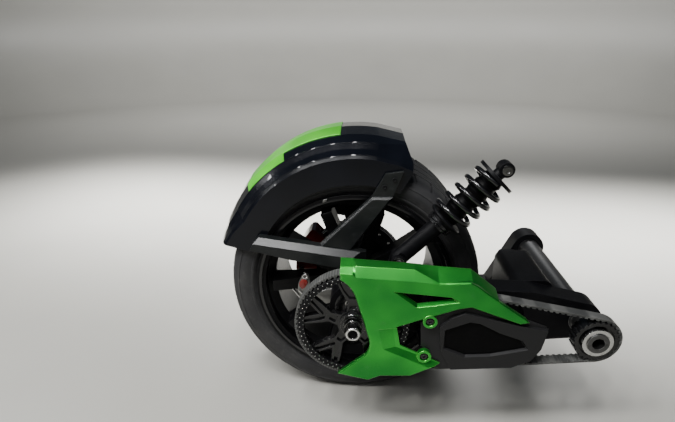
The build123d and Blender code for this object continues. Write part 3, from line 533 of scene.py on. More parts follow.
@dataclass(frozen=True)
class Belt:
    """Drive belt: grey rubber with a ribbed back, pale edges that are a painted highlight, and dust."""

    name: str
    base: Colour = (0.026, 0.027, 0.026)
    dusty: Colour = (0.16, 0.16, 0.15)
    roughness: float = 0.5
    rounding: float = 0.0006
    rib_pitch: float = 0.007
    back_radius: float = 0.14
    back_from: float = 0.1365
    dust_waves: float = 40.0
    grain_waves: float = 1300.0
    depth: float = 0.0004

    def material(self) -> bpy.types.Material:
        """Builds the belt's rubber.

        Returns:
            The material.
        """
        mix = Recipe(self.name)
        rounded = mix.soft_edges(self.rounding)
        edge = mix.edge_highlight_mask(rounded)
        reach, turn = mix.from_centre(AXLE)
        ribs = (turn * (math.tau * self.back_radius / self.rib_pitch)).sine().between(-0.3, 0.5)
        ribs = ribs * (reach > self.back_from)
        dust = mix.noise(self.dust_waves, 5.0).between(0.4, 0.8)
        return mix.finish(
            # Painted highlight: sharp edges are mixed towards the dust colour
            Base_Color=mix.mix(dust * 0.25 + ribs * 0.25 + edge * 0.6, self.base, self.dusty),
            Roughness=self.roughness + dust * 0.2,
            Normal=mix.bump(ribs + mix.noise(self.grain_waves) * 0.2, self.depth, rounded),
        )


FINISHES = {
    "tyre": Rubber("tyre_rubber"),
    "wheel_black": Plastic(
        "wheel_black", base=(0.002, 0.002, 0.0023), worn_and_edge_highlight=(0.03, 0.03, 0.033), roughness=0.36,
        grain=300.0, depth=0.00003, specular=0.14,
    ),
    "bright_steel": Metal(
        "bright_steel", base=(0.66, 0.66, 0.65), stain=(0.30, 0.28, 0.25), centre=AXLE, roughness=0.24
    ),
    "plated": Metal(
        "dark_plating", base=(0.13, 0.13, 0.125), stain=(0.05, 0.045, 0.04), centre=AXLE,
        roughness=0.20, rings=1500.0,
    ),
    "black_iron": Plastic(
        "black_iron", base=(0.004, 0.004, 0.0045), worn_and_edge_highlight=(0.05, 0.05, 0.05), roughness=0.22,
        grain=900.0, depth=0.00008, coat=0.5, specular=0.3, metallic=0.2,
    ),
    "arm_black": Plastic(
        "arm_black", base=(0.0025, 0.0025, 0.003), worn_and_edge_highlight=(0.03, 0.03, 0.032), roughness=0.42,
        grain=1100.0, specular=0.09,
    ),
    # Green paint; its pale yellow-green edge colour is a painted highlight along sharp edges
    "green": Paint(
        "green_paint", deep=(0.014, 0.18, 0.027), bright=(0.052, 0.52, 0.060), metallic=0.9,
        roughness=0.28, coat_index=1.35, coat=0.25, edges=(0.22, 0.85, 0.15), rounding=0.0022,
    ),
    "gloss_black": Paint(
        "gloss_black", deep=(0.0012, 0.0015, 0.0025), bright=(0.003, 0.0035, 0.006), metallic=0.0,
        roughness=0.2, flake=3000.0, dusty=0.05, dust=(0.08, 0.08, 0.08), coat_index=1.27,
    ),
    "matt_black": Plastic(
        "matt_black", base=(0.004, 0.004, 0.0045), worn_and_edge_highlight=(0.03, 0.03, 0.03), roughness=0.42,
        grain=1600.0, specular=0.13,
    ),
    "satin_grey": Plastic(
        "satin_grey", base=(0.005, 0.006, 0.006), worn_and_edge_highlight=(0.10, 0.10, 0.105), roughness=0.30,
        grain=1500.0, depth=0.00005, specular=0.27, edge=0.3,
    ),
    "belt": Belt("belt_rubber"),
    "boot": Plastic(
        "boot_rubber", base=(0.0015, 0.0015, 0.0017), worn_and_edge_highlight=(0.02, 0.02, 0.02), roughness=0.40,
        grain=1000.0, specular=0.06,
    ),
    "caliper_red": Paint(
        "caliper_red", deep=(0.07, 0.006, 0.005), bright=(0.18, 0.016, 0.012), metallic=0.2, roughness=0.35
    ),
    "cast_alloy": Metal(
        "cast_alloy", base=(0.20, 0.20, 0.19), stain=(0.08, 0.075, 0.07), centre=AXLE,
        roughness=0.42, rings=600.0,
    ),
    "tube_steel": Metal(
        "tube_steel", base=(0.11, 0.11, 0.11), stain=(0.05, 0.05, 0.045), centre=PIVOT,
        roughness=0.36, rings=1800.0,
    ),
    # Black face with two thin white rings, a painted highlight for light caught on the disc's edges
    "disc_face": Metal(
        "disc_face", base=(0.75, 0.75, 0.74), stain=(0.5, 0.5, 0.48), centre=AXLE, roughness=0.3,
        metallic=0.0, highlight_rings=(0.1378, 0.1422),
    ),
    # Brighter copy of the green paint: painted light from above, for the strip on the hugger's crown
    "lit_green": Paint(
        "lit_green_paint", deep=(0.05, 0.42, 0.012), bright=(0.14, 0.80, 0.035), metallic=0.5,
        roughness=0.34, coat_index=1.3, coat=0.35, edges=(0.3, 0.9, 0.2),
    ),
    "guard_black": Plastic(
        "guard_black", base=(0.009, 0.009, 0.0095), worn_and_edge_highlight=(0.04, 0.04, 0.04), roughness=0.45,
        grain=1600.0, specular=0.25,
    ),
}
NODE_FINISHES = {
    "brake_disc": "disc_face",
    "pivot_tube": "tube_steel",
    # Painted light: the hugger's crown takes the lit copy of the green paint
    "hugger_crown": "lit_green",
    "lower_guard": "guard_black",
}


@dataclass
class Wardrobe:
    """Materials by finish, each built once."""

    made: dict[str, bpy.types.Material] = field(default_factory=dict)

    def of(self, finish: str) -> bpy.types.Material:
        """Material of a finish.

        Args:
            finish: Name of the finish: a material slot's name, or one of a node's own.

        Returns:
            The material.
        """
        if finish not in self.made:
            self.made[finish] = FINISHES[finish].material()
        return self.made[finish]

    def dress(self, piece: Piece, finish: str) -> None:
        """Gives a piece the material of a finish all over."""
        piece.data.materials.clear()
        piece.data.materials.append(self.of(finish))


def dress_frame(wardrobe: Wardrobe) -> None:
    """Gives every node of the frame its own finish, or else its slot's.

    Args:
        wardrobe: Where the finishes come from.
    """
    for part in frame["record"]["subparts"]:
        finish = NODE_FINISHES.get(part["node"], part["material_slot"])
        wardrobe.dress(frame["nodes"][part["node"]], finish)
        LOG.info("dressed %s in %s", part["node"], finish)


# Modelling


def deselect() -> None:
    """Leaves object mode with nothing selected."""
    if bpy.context.object is not None and bpy.context.object.mode != "OBJECT":
        bpy.ops.object.mode_set(mode="OBJECT")
    bpy.ops.object.select_all(action="DESELECT")


class Bench:
    """Modelling steps that the sub-assemblies share, each done with Blender's own operators."""

    @staticmethod
    def alone(piece: Piece) -> None:
        """Leaves object mode with one piece selected and active.

        Args:
            piece: Mesh object.
        """
        deselect()
        piece.select_set(True)
        bpy.context.view_layer.objects.active = piece

    @staticmethod
    def draw(corners: Sequence[Vector]) -> Piece:
        """Draws a closed chain of edges by extruding a vertex, and stays in edit mode.

        Args:
            corners: Corners of the chain.

        Returns:
            The object.
        """
        deselect()
        bpy.ops.mesh.primitive_plane_add(size=0.01, location=(0, 0, 0))
        bpy.ops.object.mode_set(mode="EDIT")
        bpy.ops.mesh.select_mode(type="VERT")
        bpy.ops.mesh.select_all(action="SELECT")
        bpy.ops.mesh.merge(type="CENTER")
        bpy.ops.transform.translate(value=corners[0])
        for before, after in zip(corners, [*corners[1:], corners[0]]):
            bpy.ops.mesh.extrude_region_move(TRANSFORM_OT_translate={"value": after - before})
        bpy.ops.mesh.select_all(action="SELECT")
        bpy.ops.mesh.remove_doubles(threshold=MERGE_WITHIN)
        return bpy.context.object

    @staticmethod
    def turned(profile: Sequence[Pair], steps: int, centre: Vector = AXLE) -> Piece:
        """Turns a closed profile about a line along Y, and stays in edit mode.

        Args:
            profile: Distance along Y and radius of each corner.
            steps: Faces round the turn.
            centre: X and Z of the line.

        Returns:
            The turned piece.
        """
        piece = Bench.draw([Vector((centre[0], along, centre[1] + out)) for along, out in profile])
        bpy.ops.mesh.spin(
            steps=steps, angle=math.tau, center=(centre[0], 0, centre[1]), axis=LEFT, use_auto_merge=True
        )
        bpy.ops.mesh.select_all(action="SELECT")
        bpy.ops.mesh.remove_doubles(threshold=MERGE_WITHIN)
        bpy.ops.mesh.normals_make_consistent(inside=False)
        return piece

    @staticmethod
    def plate(outline: Sequence[Pair], near: float, far: float) -> Piece:
        """Models a plate across Y.

        Args:
            outline: X and Z of its corners.
            near: Y of its outer face.
            far: Y of its inner face.

        Returns:
            The plate, in object mode.
        """
        piece = Bench.draw([Vector((x, near, z)) for x, z in outline])
        bpy.ops.mesh.edge_face_add()
        bpy.ops.mesh.extrude_region_move(TRANSFORM_OT_translate={"value": (0, far - near, 0)})
        bpy.ops.mesh.select_all(action="SELECT")
        bpy.ops.mesh.normals_make_consistent(inside=False)
        bpy.ops.object.mode_set(mode="OBJECT")
        return piece

    @staticmethod
    def pick(piece: Piece, wanted: Callable[[Face], bool]) -> None:
        """Selects the faces that a test accepts, and nothing else, in edit mode.

        Args:
            piece: Mesh object.
            wanted: Test of a face.
        """
        bpy.context.view_layer.objects.active = piece
        bpy.ops.object.mode_set(mode="EDIT")
        bpy.ops.mesh.select_mode(type="FACE")
        bpy.ops.mesh.select_all(action="DESELECT")
        bpy.ops.object.mode_set(mode="OBJECT")
        for face in piece.data.polygons:
            face.select = bool(wanted(face))
        bpy.ops.object.mode_set(mode="EDIT")

    @staticmethod
    def done(piece: Piece, name: str, angle: float = 32.0) -> Piece:
        """Ends the modelling of a piece: places applied, edges shaded by their angle.

        Args:
            piece: Mesh object.
            name: Name of the piece.
            angle: Edges that turn less than this, in degrees, look smooth.

        Returns:
            The piece.
        """
        Bench.alone(piece)
        bpy.ops.object.transform_apply()
        bpy.ops.object.shade_smooth_by_angle(angle=math.radians(angle))
        piece.name = piece.data.name = name
        return piece

    @staticmethod
    def bevelled(piece: Piece, width: float) -> Piece:
        """Rounds the sharp edges of a piece.

        Args:
            piece: Mesh object.
            width: Width of the rounding.

        Returns:
            The piece.
        """
        Bench.alone(piece)
        bevel = piece.modifiers.new("edge", "BEVEL")
        bevel.width = width
        bevel.segments = 2
        bevel.limit_method = "ANGLE"
        bpy.ops.object.modifier_apply(modifier=bevel.name)
        return piece

    @staticmethod
    def closed_ends(piece: Piece) -> None:
        """Closes the open ends of a tube.

        Args:
            piece: Mesh object.
        """
        Bench.alone(piece)
        bpy.ops.object.mode_set(mode="EDIT")
        bpy.ops.mesh.select_mode(type="EDGE")
        bpy.ops.mesh.select_all(action="DESELECT")
        bpy.ops.mesh.select_non_manifold(extend=False)
        bpy.ops.mesh.edge_face_add()
        bpy.ops.mesh.select_all(action="SELECT")
        bpy.ops.mesh.normals_make_consistent(inside=False)
        bpy.ops.object.mode_set(mode="OBJECT")

    @staticmethod
    def bead(centre: Vector, across: float, out: float, turns: Pair, radius: float) -> Piece:
        """Models a round bead that runs along an arc about a line along Y, with a step for each degree.

        Args:
            centre: X and Z of the line.
            across: Y of the bead's middle.
            out: Radius of the arc.
            turns: Angles of its ends from straight ahead, over the top, in degrees.
            radius: Radius of the bead.

        Returns:
            The bead, in object mode.
        """
        deselect()
        start = math.radians(turns[0])
        place = (centre[0] + out * math.cos(start), across, centre[1] + out * math.sin(start))
        way = Vector((-math.sin(start), 0, math.cos(start)))
        turn = way.to_track_quat("Z", "Y").to_euler()
        bpy.ops.mesh.primitive_circle_add(vertices=10, radius=radius, location=place, rotation=turn)
        piece = bpy.context.object
        bpy.ops.object.transform_apply()
        bpy.ops.object.mode_set(mode="EDIT")
        bpy.ops.mesh.select_mode(type="EDGE")
        bpy.ops.mesh.select_all(action="SELECT")
        degrees = turns[1] - turns[0]
        bpy.ops.mesh.spin(
            steps=int(degrees), angle=math.radians(degrees), center=(centre[0], 0, centre[1]), axis=LEFT
        )
        Bench.closed_ends(piece)
        return piece

    @staticmethod
    def rod(start: Vector, end: Vector, radius: float, sides: int = 24) -> Piece:
        """Models a round rod between two places.

        Args:
            start: Middle of one end.
            end: Middle of the other.
            radius: Its radius.
            sides: Faces round it.

        Returns:
            The rod, in object mode.
        """
        deselect()
        way = end - start
        turn = way.to_track_quat("Z", "Y").to_euler()
        bpy.ops.mesh.primitive_cylinder_add(
            vertices=sides, radius=radius, depth=way.length, location=(start + end) / 2, rotation=turn
        )
        bpy.ops.object.transform_apply()
        return bpy.context.object

    @staticmethod
    def ring(first: Piece, count: int) -> list[Piece]:
        """Repeats a piece evenly round the axle, each copy with a mesh of its own.

        Args:
            first: The piece, which stays as it is.
            count: How many pieces the ring has.

        Returns:
            The piece and its copies.
        """
        origin = Vector((AXLE[0], 0, AXLE[1]))
        pieces = [first]
        for step in range(1, count):
            turn = Matrix.Rotation(math.tau * step / count, 4, "Y")
            copy = first.copy()
            copy.data = first.data.copy()
            copy.data.transform(Matrix.Translation(origin) @ turn @ Matrix.Translation(-origin))
            bpy.context.scene.collection.objects.link(copy)
            pieces.append(copy)
        return pieces

    @staticmethod
    def joined(pieces: Sequence[Piece], name: str) -> Piece:
        """Joins pieces into one, and ends its modelling.

        Args:
            pieces: Mesh objects.
            name: Name of the result.

        Returns:
            The joined piece.
        """
        Bench.alone(pieces[0])
        for piece in pieces[1:]:
            piece.select_set(True)
        bpy.ops.object.join()
        return Bench.done(pieces[0], name)


class Head(Enum):
    """Shape of a bolt's head.

    Each holds the head's sides, the inset of its middle as a share of the radius, how far the middle moves
    out as a share of the height, and whether the move leaves an upright wall.
    """

    HEX = (6, 0.38, 0.30, True)
    SOCKET = (20, 0.34, -0.55, True)
    DOME = (20, 0.30, 0.22, False)


@dataclass(frozen=True)
class Bolt:
    """A bolt's or rivet's head, with a chamfer whose sizes are shares of its radius and height."""

    radius: float
    height: float
    head: Head
    chamfer: float = 0.16
    chamfer_rise: float = 0.12

    def seated(self, place: Vector, way: Vector) -> Piece:
        """Models the head.

        Args:
            place: Middle of its seat.
            way: Direction that it points in.

        Returns:
            The head, in object mode.
        """
        sides, inset, rise, walled = self.head.value
        deselect()
        bpy.ops.mesh.primitive_cylinder_add(
            vertices=sides,
            radius=self.radius,
            depth=self.height,
            location=place + way * self.height / 2,
            rotation=way.to_track_quat("Z", "Y").to_euler(),
        )
        piece = bpy.context.object
        bpy.ops.object.transform_apply()
        Bench.pick(piece, lambda face: face.normal.dot(way) > 0.9)
        bpy.ops.mesh.inset(thickness=self.radius * self.chamfer)
        bpy.ops.transform.translate(value=way * self.height * self.chamfer_rise)
        bpy.ops.mesh.inset(thickness=self.radius * inset)
        if walled:
            bpy.ops.mesh.extrude_region_move(TRANSFORM_OT_translate={"value": way * self.height * rise})
        else:
            bpy.ops.transform.translate(value=way * self.height * rise)
        bpy.ops.object.mode_set(mode="OBJECT")
        return piece


# Sub-assemblies: sizes are in metres, and the columns of each table are named above it


@dataclass
class Assembly:
    """A group of pieces that share a body of the frame."""

    wardrobe: Wardrobe
    body: str = "swingarm"

    def keep(self, piece: Piece, slot: str, finish: str | None = None) -> Piece:
        """Dresses a finished piece and makes it ride.

        Args:
            piece: Mesh object.
            slot: The record's name of the material slot.
            finish: Name of its finish, if it isn't the slot's.

        Returns:
            The piece.
        """
        self.wardrobe.dress(piece, finish or slot)
        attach(piece, self.body)
        LOG.info("made %s, %d faces", piece.name, len(piece.data.polygons))
        return piece


@dataclass
class Wheel(Assembly):
    """Tyre with its tread, and what is fastened to the rim."""

    body: str = "wheel"
    steps: int = 240
    tread_every: int = 6
    groove_depth: float = 0.0045
    groove_reach: float = 0.012
    shoulder: Pair = (0.0135, 0.068)
    # In from the tyre's side, and out from the rim's flange
    sidewall: Table = (
        (0.0290, -0.0172), (0.0131, -0.0168), (0.0131, 0.0022), (0.0104, 0.0050), (0.0064, 0.0110),
        (0.0052, 0.0112), (0.0036, 0.0158), (0.0044, 0.0176), (0.0014, 0.0270), (0.0002, 0.0350),
        (0.0004, 0.0410), (0.0022, 0.0480), (0.0012, 0.0496), (0.0024, 0.0530), (0.0044, 0.0546),
        (0.0080, 0.0620),
    )
    # In from the tyre's side, and in from its largest radius
    tread: Table = (
        (0.0130, 0.0082), (0.0190, 0.0045), (0.0280, 0.0020), (0.0420, 0.0010), (0.0700, 0.0004),
        (0.0710, 0.0070), (0.0780, 0.0070), (0.0790, 0.0002), (0.1180, 0.0), (0.1190, 0.0070),
        (0.1270, 0.0070), (0.1280, 0.0),
    )
    # The same two measures of the inner wall, at the tread and above the flange
    inside_tread: Pair = (0.0400, 0.0130)
    inside_flange: Pair = (0.0300, 0.0300)
    # Out from the rim's face, and in from its edge
    lip: Table = (
        (-0.0003, 0.0055), (0.0002, 0.0075), (0.0002, 0.0128), (-0.0010, 0.0140), (-0.0060, 0.0150),
        (-0.0050, 0.0080),
    )
    valve_across: float = -0.110
    valve_turn: float = 111.5
    # Distance of the valve's foot, neck and tip from the axle
    valve_reach: Sizes = (0.2262, 0.2110, 0.1990)
    stem_radius: float = 0.0042
    collar_radius: float = 0.0072
    collar_share: float = 0.3
    cap: Bolt = Bolt(0.0052, 0.0105, Head.DOME)
    # Forward and up from the weight's middle
    weight_outline: Table = ((-0.0060, -0.0058), (0.0046, -0.0025), (0.0060, 0.0052), (-0.0048, 0.0020))
    weight_place: Pair = (0.2665, 107.3)
    # Out from the rim's face to the weight's two faces
    weight_faces: Pair = (0.0022, -0.0010)
    small_edge: float = 0.0006
    hub_face: float = -0.1017
    hub_place: Pair = (0.046, 18.0)
    hub_bolt: Bolt = Bolt(0.0085, 0.008, Head.HEX)
    disc_place: Pair = (0.101, 9.0)
    disc_bolt: Bolt = Bolt(0.0062, 0.005, Head.SOCKET)

    def build(self) -> None:
        """Makes the tyre and the trim of the rim and the brake disc."""
        self.tyre()
        self.lips()
        self.valve()
        self.weight()
        self.bolts()

    def section(self) -> list[Pair]:
        """Section of the tyre, with its bead, sidewall rings, shoulder and tread grooves.

        Returns:
            Distance along Y and radius of each corner.
        """
        half, outer = half_size("tyre")
        _, flange = half_size("rim")
        right = [(half - inward, flange + out) for inward, out in self.sidewall]
        right += [(half - inward, outer - sunk) for inward, sunk in self.tread]
        inner = [
            (half - self.inside_tread[0], outer - self.inside_tread[1]),
            (half - self.inside_flange[0], flange + self.inside_flange[1]),
        ]
        left, inner_left = ([(-along, out) for along, out in reversed(wall)] for wall in (right, inner))
        return right + left + inner_left + inner

    def tyre(self) -> None:
        """Models the tyre: a turned section, then cross grooves pressed into the shoulders."""
        piece = Bench.turned(self.section(), self.steps)
        half, outer = half_size("tyre")

        def shoulder_slot(face: Face) -> bool:
            """Every few steps, the shoulder and outer rib, later on the left than on the right.

            Args:
                face: Face of the tyre.

            Returns:
                Whether it is pressed in.
            """
            across = face.center.y
            reach, turn = polar(face.center)
            inward = half - abs(across)
            if not (self.shoulder[0] < inward < self.shoulder[1] and reach > outer - self.groove_reach):
                return False
            step = int(turn / math.tau * self.steps) + (self.tread_every // 2 if across > 0 else 0)
            return step % self.tread_every == 0

        Bench.pick(piece, shoulder_slot)
        bpy.ops.mesh.extrude_region_shrink_fatten(TRANSFORM_OT_shrink_fatten={"value": -self.groove_depth})
        Bench.done(piece, "tyre_tread", angle=38)
        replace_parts(self.keep(piece, "tyre"), "tyre")

    def lips(self) -> None:
        """Models the inner lip of each rim flange."""
        _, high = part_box("rim")
        _, edge = half_size("rim")
        for side, name in ((-1, "rim_lip_right"), (1, "rim_lip_left")):
            profile = [(side * (high.y + out), edge - inward) for out, inward in self.lip]
            self.keep(Bench.done(Bench.turned(profile, steps=180), name, angle=25), "black_iron")

    def valve(self) -> None:
        """Models the tyre valve on the rim's well, with its cap."""
        foot, neck, tip = (from_axle(out, self.valve_turn, self.valve_across) for out in self.valve_reach)
        collar = Bench.rod(foot, foot + (neck - foot) * self.collar_share, self.collar_radius)
        stem = Bench.joined([Bench.rod(foot, neck, self.stem_radius, sides=16), collar], "valve_stem")
        self.keep(Bench.bevelled(stem, self.small_edge), "boot")
        cap = self.cap.seated(neck, (tip - neck).normalized())
        self.keep(Bench.done(cap, "valve_cap"), "bright_steel")

    def weight(self) -> None:
        """Models a balance weight clipped on the right flange."""
        _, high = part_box("rim")
        spot = from_axle(*self.weight_place, 0)
        outline = [(spot.x + forward, spot.z + up) for forward, up in self.weight_outline]
        near, far = (-high.y - out for out in self.weight_faces)
        piece = Bench.bevelled(Bench.plate(outline, near, far), self.small_edge)
        self.keep(Bench.done(piece, "balance_weight"), "cast_alloy")

    def bolts(self) -> None:
        """Models the bolts round the hub's right face, and those that hold the disc on its carrier."""
        first = self.hub_bolt.seated(from_axle(*self.hub_place, self.hub_face), RIGHT)
        self.keep(Bench.joined(Bench.ring(first, 5), "hub_bolts"), "plated")
        _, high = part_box("disc_carrier")
        first = self.disc_bolt.seated(from_axle(*self.disc_place, high.y), LEFT)
        self.keep(Bench.joined(Bench.ring(first, 10), "disc_bolts"), "plated")


@dataclass
class Pulley(Assembly):
    """Trim of the driven pulley and of the axle's right end."""

    body: str = "wheel"
    # Rise over the pulley's face, and radius
    flange_profile: Table = (
        (0.0, 0.1198), (0.0012, 0.1202), (0.0014, 0.1212), (0.0014, 0.1326), (0.0008, 0.1334),
        (0.0, 0.1336),
    )
    rivets_a_row: int = 61
    rivet_seat: float = 0.0013
    # Radius of the row, its turn in steps, and the rivet
    rivet_rows: tuple[tuple[float, float, Bolt], ...] = (
        (0.1300, 0.0, Bolt(0.0013, 0.0011, Head.DOME)),
        (0.1218, 0.5, Bolt(0.0010, 0.0011, Head.DOME)),
    )
    # Inner radius, outer radius, and rise over the hub's face
    hub_ring_sizes: tuple[Sizes, ...] = ((0.0228, 0.0246, 0.0030), (0.0292, 0.0310, 0.0014))
    hub_ring_chamfer: float = 0.0006
    hub_ring_root: float = 0.0002
    # Rise over the nut's seat, and radius
    collar_profile: Table = (
        (0.0, 0.0206), (0.0100, 0.0206), (0.0112, 0.0194), (0.0112, 0.0172), (0.0, 0.0172),
    )
    collar_steps: int = 64
    notched_from: float = 0.0195
    notch_depth: float = 0.0012
    notch_edge: float = 0.0004
    # Inner radius, outer radius, and rise over the nut's end
    nut_ring_sizes: tuple[Sizes, ...] = ((0.0122, 0.0166, 0.0016), (0.0058, 0.0088, -0.0016))
    nut_ring_root: float = 0.0030
    nut_ring_chamfer: float = 0.0005
    # Depth and width of the chamfer at the ring's outer edge
    nut_ring_edge: Pair = (0.0008, 0.0007)
    # Depth of the recess's floor and top below the nut's end
    recess: Pair = (0.0042, 0.0012)
    recess_radius: float = 0.0126

    def build(self) -> None:
        """Makes the trim of the pulley and the nut."""
        self.flange()
        self.rivets()
        self.hub_rings()
        self.collar()
        self.nut_end()

    def face(self) -> float:
        """Y of the pulley's outer face."""
        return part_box("driven_pulley")[0].y

    def flange(self) -> None:
        """Models a thin ring on the pulley's rim."""
        profile = [(self.face() - rise, out) for rise, out in self.flange_profile]
        self.keep(Bench.done(Bench.turned(profile, steps=160), "pulley_flange"), "matt_black")

    def rivets(self) -> None:
        """Models two rows of bright rivets round the ring."""
        heads = []
        for out, shift, rivet in self.rivet_rows:
            place = from_axle(out, 360 * shift / self.rivets_a_row, self.face() - self.rivet_seat)
            heads += Bench.ring(rivet.seated(place, RIGHT), self.rivets_a_row)
        self.keep(Bench.joined(heads, "pulley_rivets"), "bright_steel")

    def hub_rings(self) -> None:
        """Models the raised rings on the pulley's hub."""
        root = self.face() + self.hub_ring_root
        rings = []
        for inner, outer, rise in self.hub_ring_sizes:
            top = self.face() - rise
            profile = [
                (root, inner),
                (top, inner + self.hub_ring_chamfer),
                (top, outer - self.hub_ring_chamfer),
                (root, outer),
            ]
            rings.append(Bench.turned(profile, steps=96))
        self.keep(Bench.joined(rings, "pulley_hub_rings"), "plated")

    def collar(self) -> None:
        """Models the notched collar under the tall nut."""
        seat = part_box("axle_nut_right")[1].y
        piece = Bench.turned([(seat - rise, out) for rise, out in self.collar_profile], self.collar_steps)

        def notch(face: Face) -> bool:
            """Every second face round the collar.

            Args:
                face: Face of the collar.

            Returns:
                Whether it is notched.
            """
            reach, turn = polar(face.center)
            if abs(face.normal.y) > 0.3 or face.area == 0 or reach < self.notched_from:
                return False
            return int(turn / math.tau * self.collar_steps) % 2 == 0

        Bench.pick(piece, notch)
        bpy.ops.mesh.inset(thickness=self.notch_edge)
        bpy.ops.transform.shrink_fatten(value=-self.notch_depth)
        self.keep(Bench.done(piece, "nut_collar"), "plated")

    def nut_end(self) -> None:
        """Models the rings at the nut's end and at the spindle's centre, and the recess between them, where a
        very dark plug paints the shade.
        """
        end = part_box("axle_nut_right")[0].y
        root = end + self.nut_ring_root
        rings = []
        for inner, outer, rise in self.nut_ring_sizes:
            top = end - rise
            profile = [
                (root, inner),
                (top, inner + self.nut_ring_chamfer),
                (top, outer - self.nut_ring_edge[1]),
                (top + self.nut_ring_edge[0], outer),
                (root, outer),
            ]
            rings.append(Bench.turned(profile, steps=72))
        self.keep(Bench.joined(rings, "nut_rings"), "bright_steel")
        centre = Vector((AXLE[0], end, AXLE[1]))
        floor, top = (centre + LEFT * depth for depth in self.recess)
        # Painted shade: a very dark plug covers the spindle's end in the nut's hollow
        plug = Bench.bevelled(Bench.rod(floor, top, self.recess_radius, sides=48), width=0.0004)
        self.keep(Bench.done(plug, "nut_recess_shade"), "boot")


@dataclass
class Shock(Assembly):
    """Coil spring, and what is fitted on the shock absorber's body."""

    turns: float = 4.5
    wire: float = 0.006
    steps_a_turn: int = 40
    seat_half: float = 0.0045
    wire_rise: float = 0.0063
    # Start below the seat's middle, length and radius
    seat_ring_sizes: tuple[Sizes, ...] = ((0.0175, 0.0060, 0.0352), (0.0255, 0.0055, 0.0335))
    seat_ring_steps: int = 48
    notch_depth: float = 0.0022
    notch_edge: float = 0.0003
    eye_reach: float = 0.3389
    eye_half: float = 0.0170
    bush: Bolt = Bolt(0.0125, 0.0030, Head.SOCKET)
    washer_inset: float = 0.0089
    washer_faces: Pair = (0.0004, 0.0014)
    washer_radius: float = 0.0148

    def build(self) -> None:
        """Makes the spring, the rings under its seat, the upper eye's bushes and the lower bolt's washers."""
        self.spring()
        self.seat_rings()
        self.bushes()
        self.washers()

    def line(self) -> tuple[Vector, Vector]:
        """Lower eye and direction of the shock absorber.

        Returns:
            The eye's middle, and the way up.
        """
        foot = middle("shock_bolt")
        return foot, (middle("shock_boot") - foot).normalized()

    def spring(self) -> None:
        """Models the spring: a wire's section, screwed up about the shock absorber."""
        foot, way = self.line()
        start = (middle("spring_seat_lower") - foot).length + self.seat_half + self.wire_rise
        height = 2 * ((middle("shock_spring") - foot).length - start)
        radius = half_size("shock_spring")[0] - self.wire
        deselect()
        bpy.ops.mesh.primitive_circle_add(
            vertices=18, radius=self.wire, rotation=(math.pi / 2, 0, 0), location=(radius, 0, 0)
        )
        piece = bpy.context.object
        bpy.ops.object.transform_apply()
        screw = piece.modifiers.new("coil", "SCREW")
        screw.axis = "Z"
        screw.angle = math.tau * self.turns
        screw.screw_offset = height
        screw.steps = screw.render_steps = int(self.turns * self.steps_a_turn)
        screw.use_merge_vertices = False
        bpy.ops.object.modifier_apply(modifier=screw.name)
        Bench.closed_ends(piece)
        upright = way.to_track_quat("Z", "Y").to_matrix().to_4x4()
        piece.data.transform(Matrix.Translation(foot + way * start) @ upright)
        Bench.done(piece, "spring_coil", angle=60)
        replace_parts(self.keep(piece, "black_iron"), "shock_spring")

    def seat_rings(self) -> None:
        """Models two notched rings that are screwed up under the lower seat."""
        foot, way = self.line()
        seat = (middle("spring_seat_lower") - foot).length
        side = way.cross(RIGHT)

        def notch(face: Face) -> bool:
            """Every fourth face round a ring.

            Args:
                face: Face of the ring.

            Returns:
                Whether it is notched.
            """
            turn = math.atan2(face.normal.dot(RIGHT), face.normal.dot(side)) / math.tau
            return abs(face.normal.dot(way)) < 0.3 and int(turn * self.seat_ring_steps) % 4 == 0

        rings = []
        for below, length, radius in self.seat_ring_sizes:
            start = seat - below
            ring = Bench.rod(foot + way * start, foot + way * (start + length), radius, self.seat_ring_steps)
            Bench.pick(ring, notch)
            bpy.ops.mesh.inset(thickness=self.notch_edge, use_individual=True)
            bpy.ops.mesh.extrude_region_shrink_fatten(TRANSFORM_OT_shrink_fatten={"value": -self.notch_depth})
            bpy.ops.object.mode_set(mode="OBJECT")
            rings.append(ring)
        self.keep(Bench.joined(rings, "seat_rings"), "black_iron")

    def bushes(self) -> None:
        """Models the bushes at both ends of the upper eye."""
        foot, way = self.line()
        eye = foot + way * self.eye_reach
        pieces = [self.bush.seated(eye + out * self.eye_half, out) for _, out in SIDES]
        self.keep(Bench.joined(pieces, "eye_bushes"), "plated")

    def washers(self) -> None:
        """Models the washers at both ends of the lower bolt."""
        low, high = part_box("shock_bolt")
        foot = middle("shock_bolt")
        pieces = []
        for across, out in ((low.y + self.washer_inset, RIGHT), (high.y - self.washer_inset, LEFT)):
            place = Vector((foot.x, across, foot.z))
            near, far = place - out * self.washer_faces[0], place + out * self.washer_faces[1]
            pieces.append(Bench.rod(near, far, self.washer_radius, sides=32))
        self.keep(Bench.joined(pieces, "bolt_washers"), "plated")


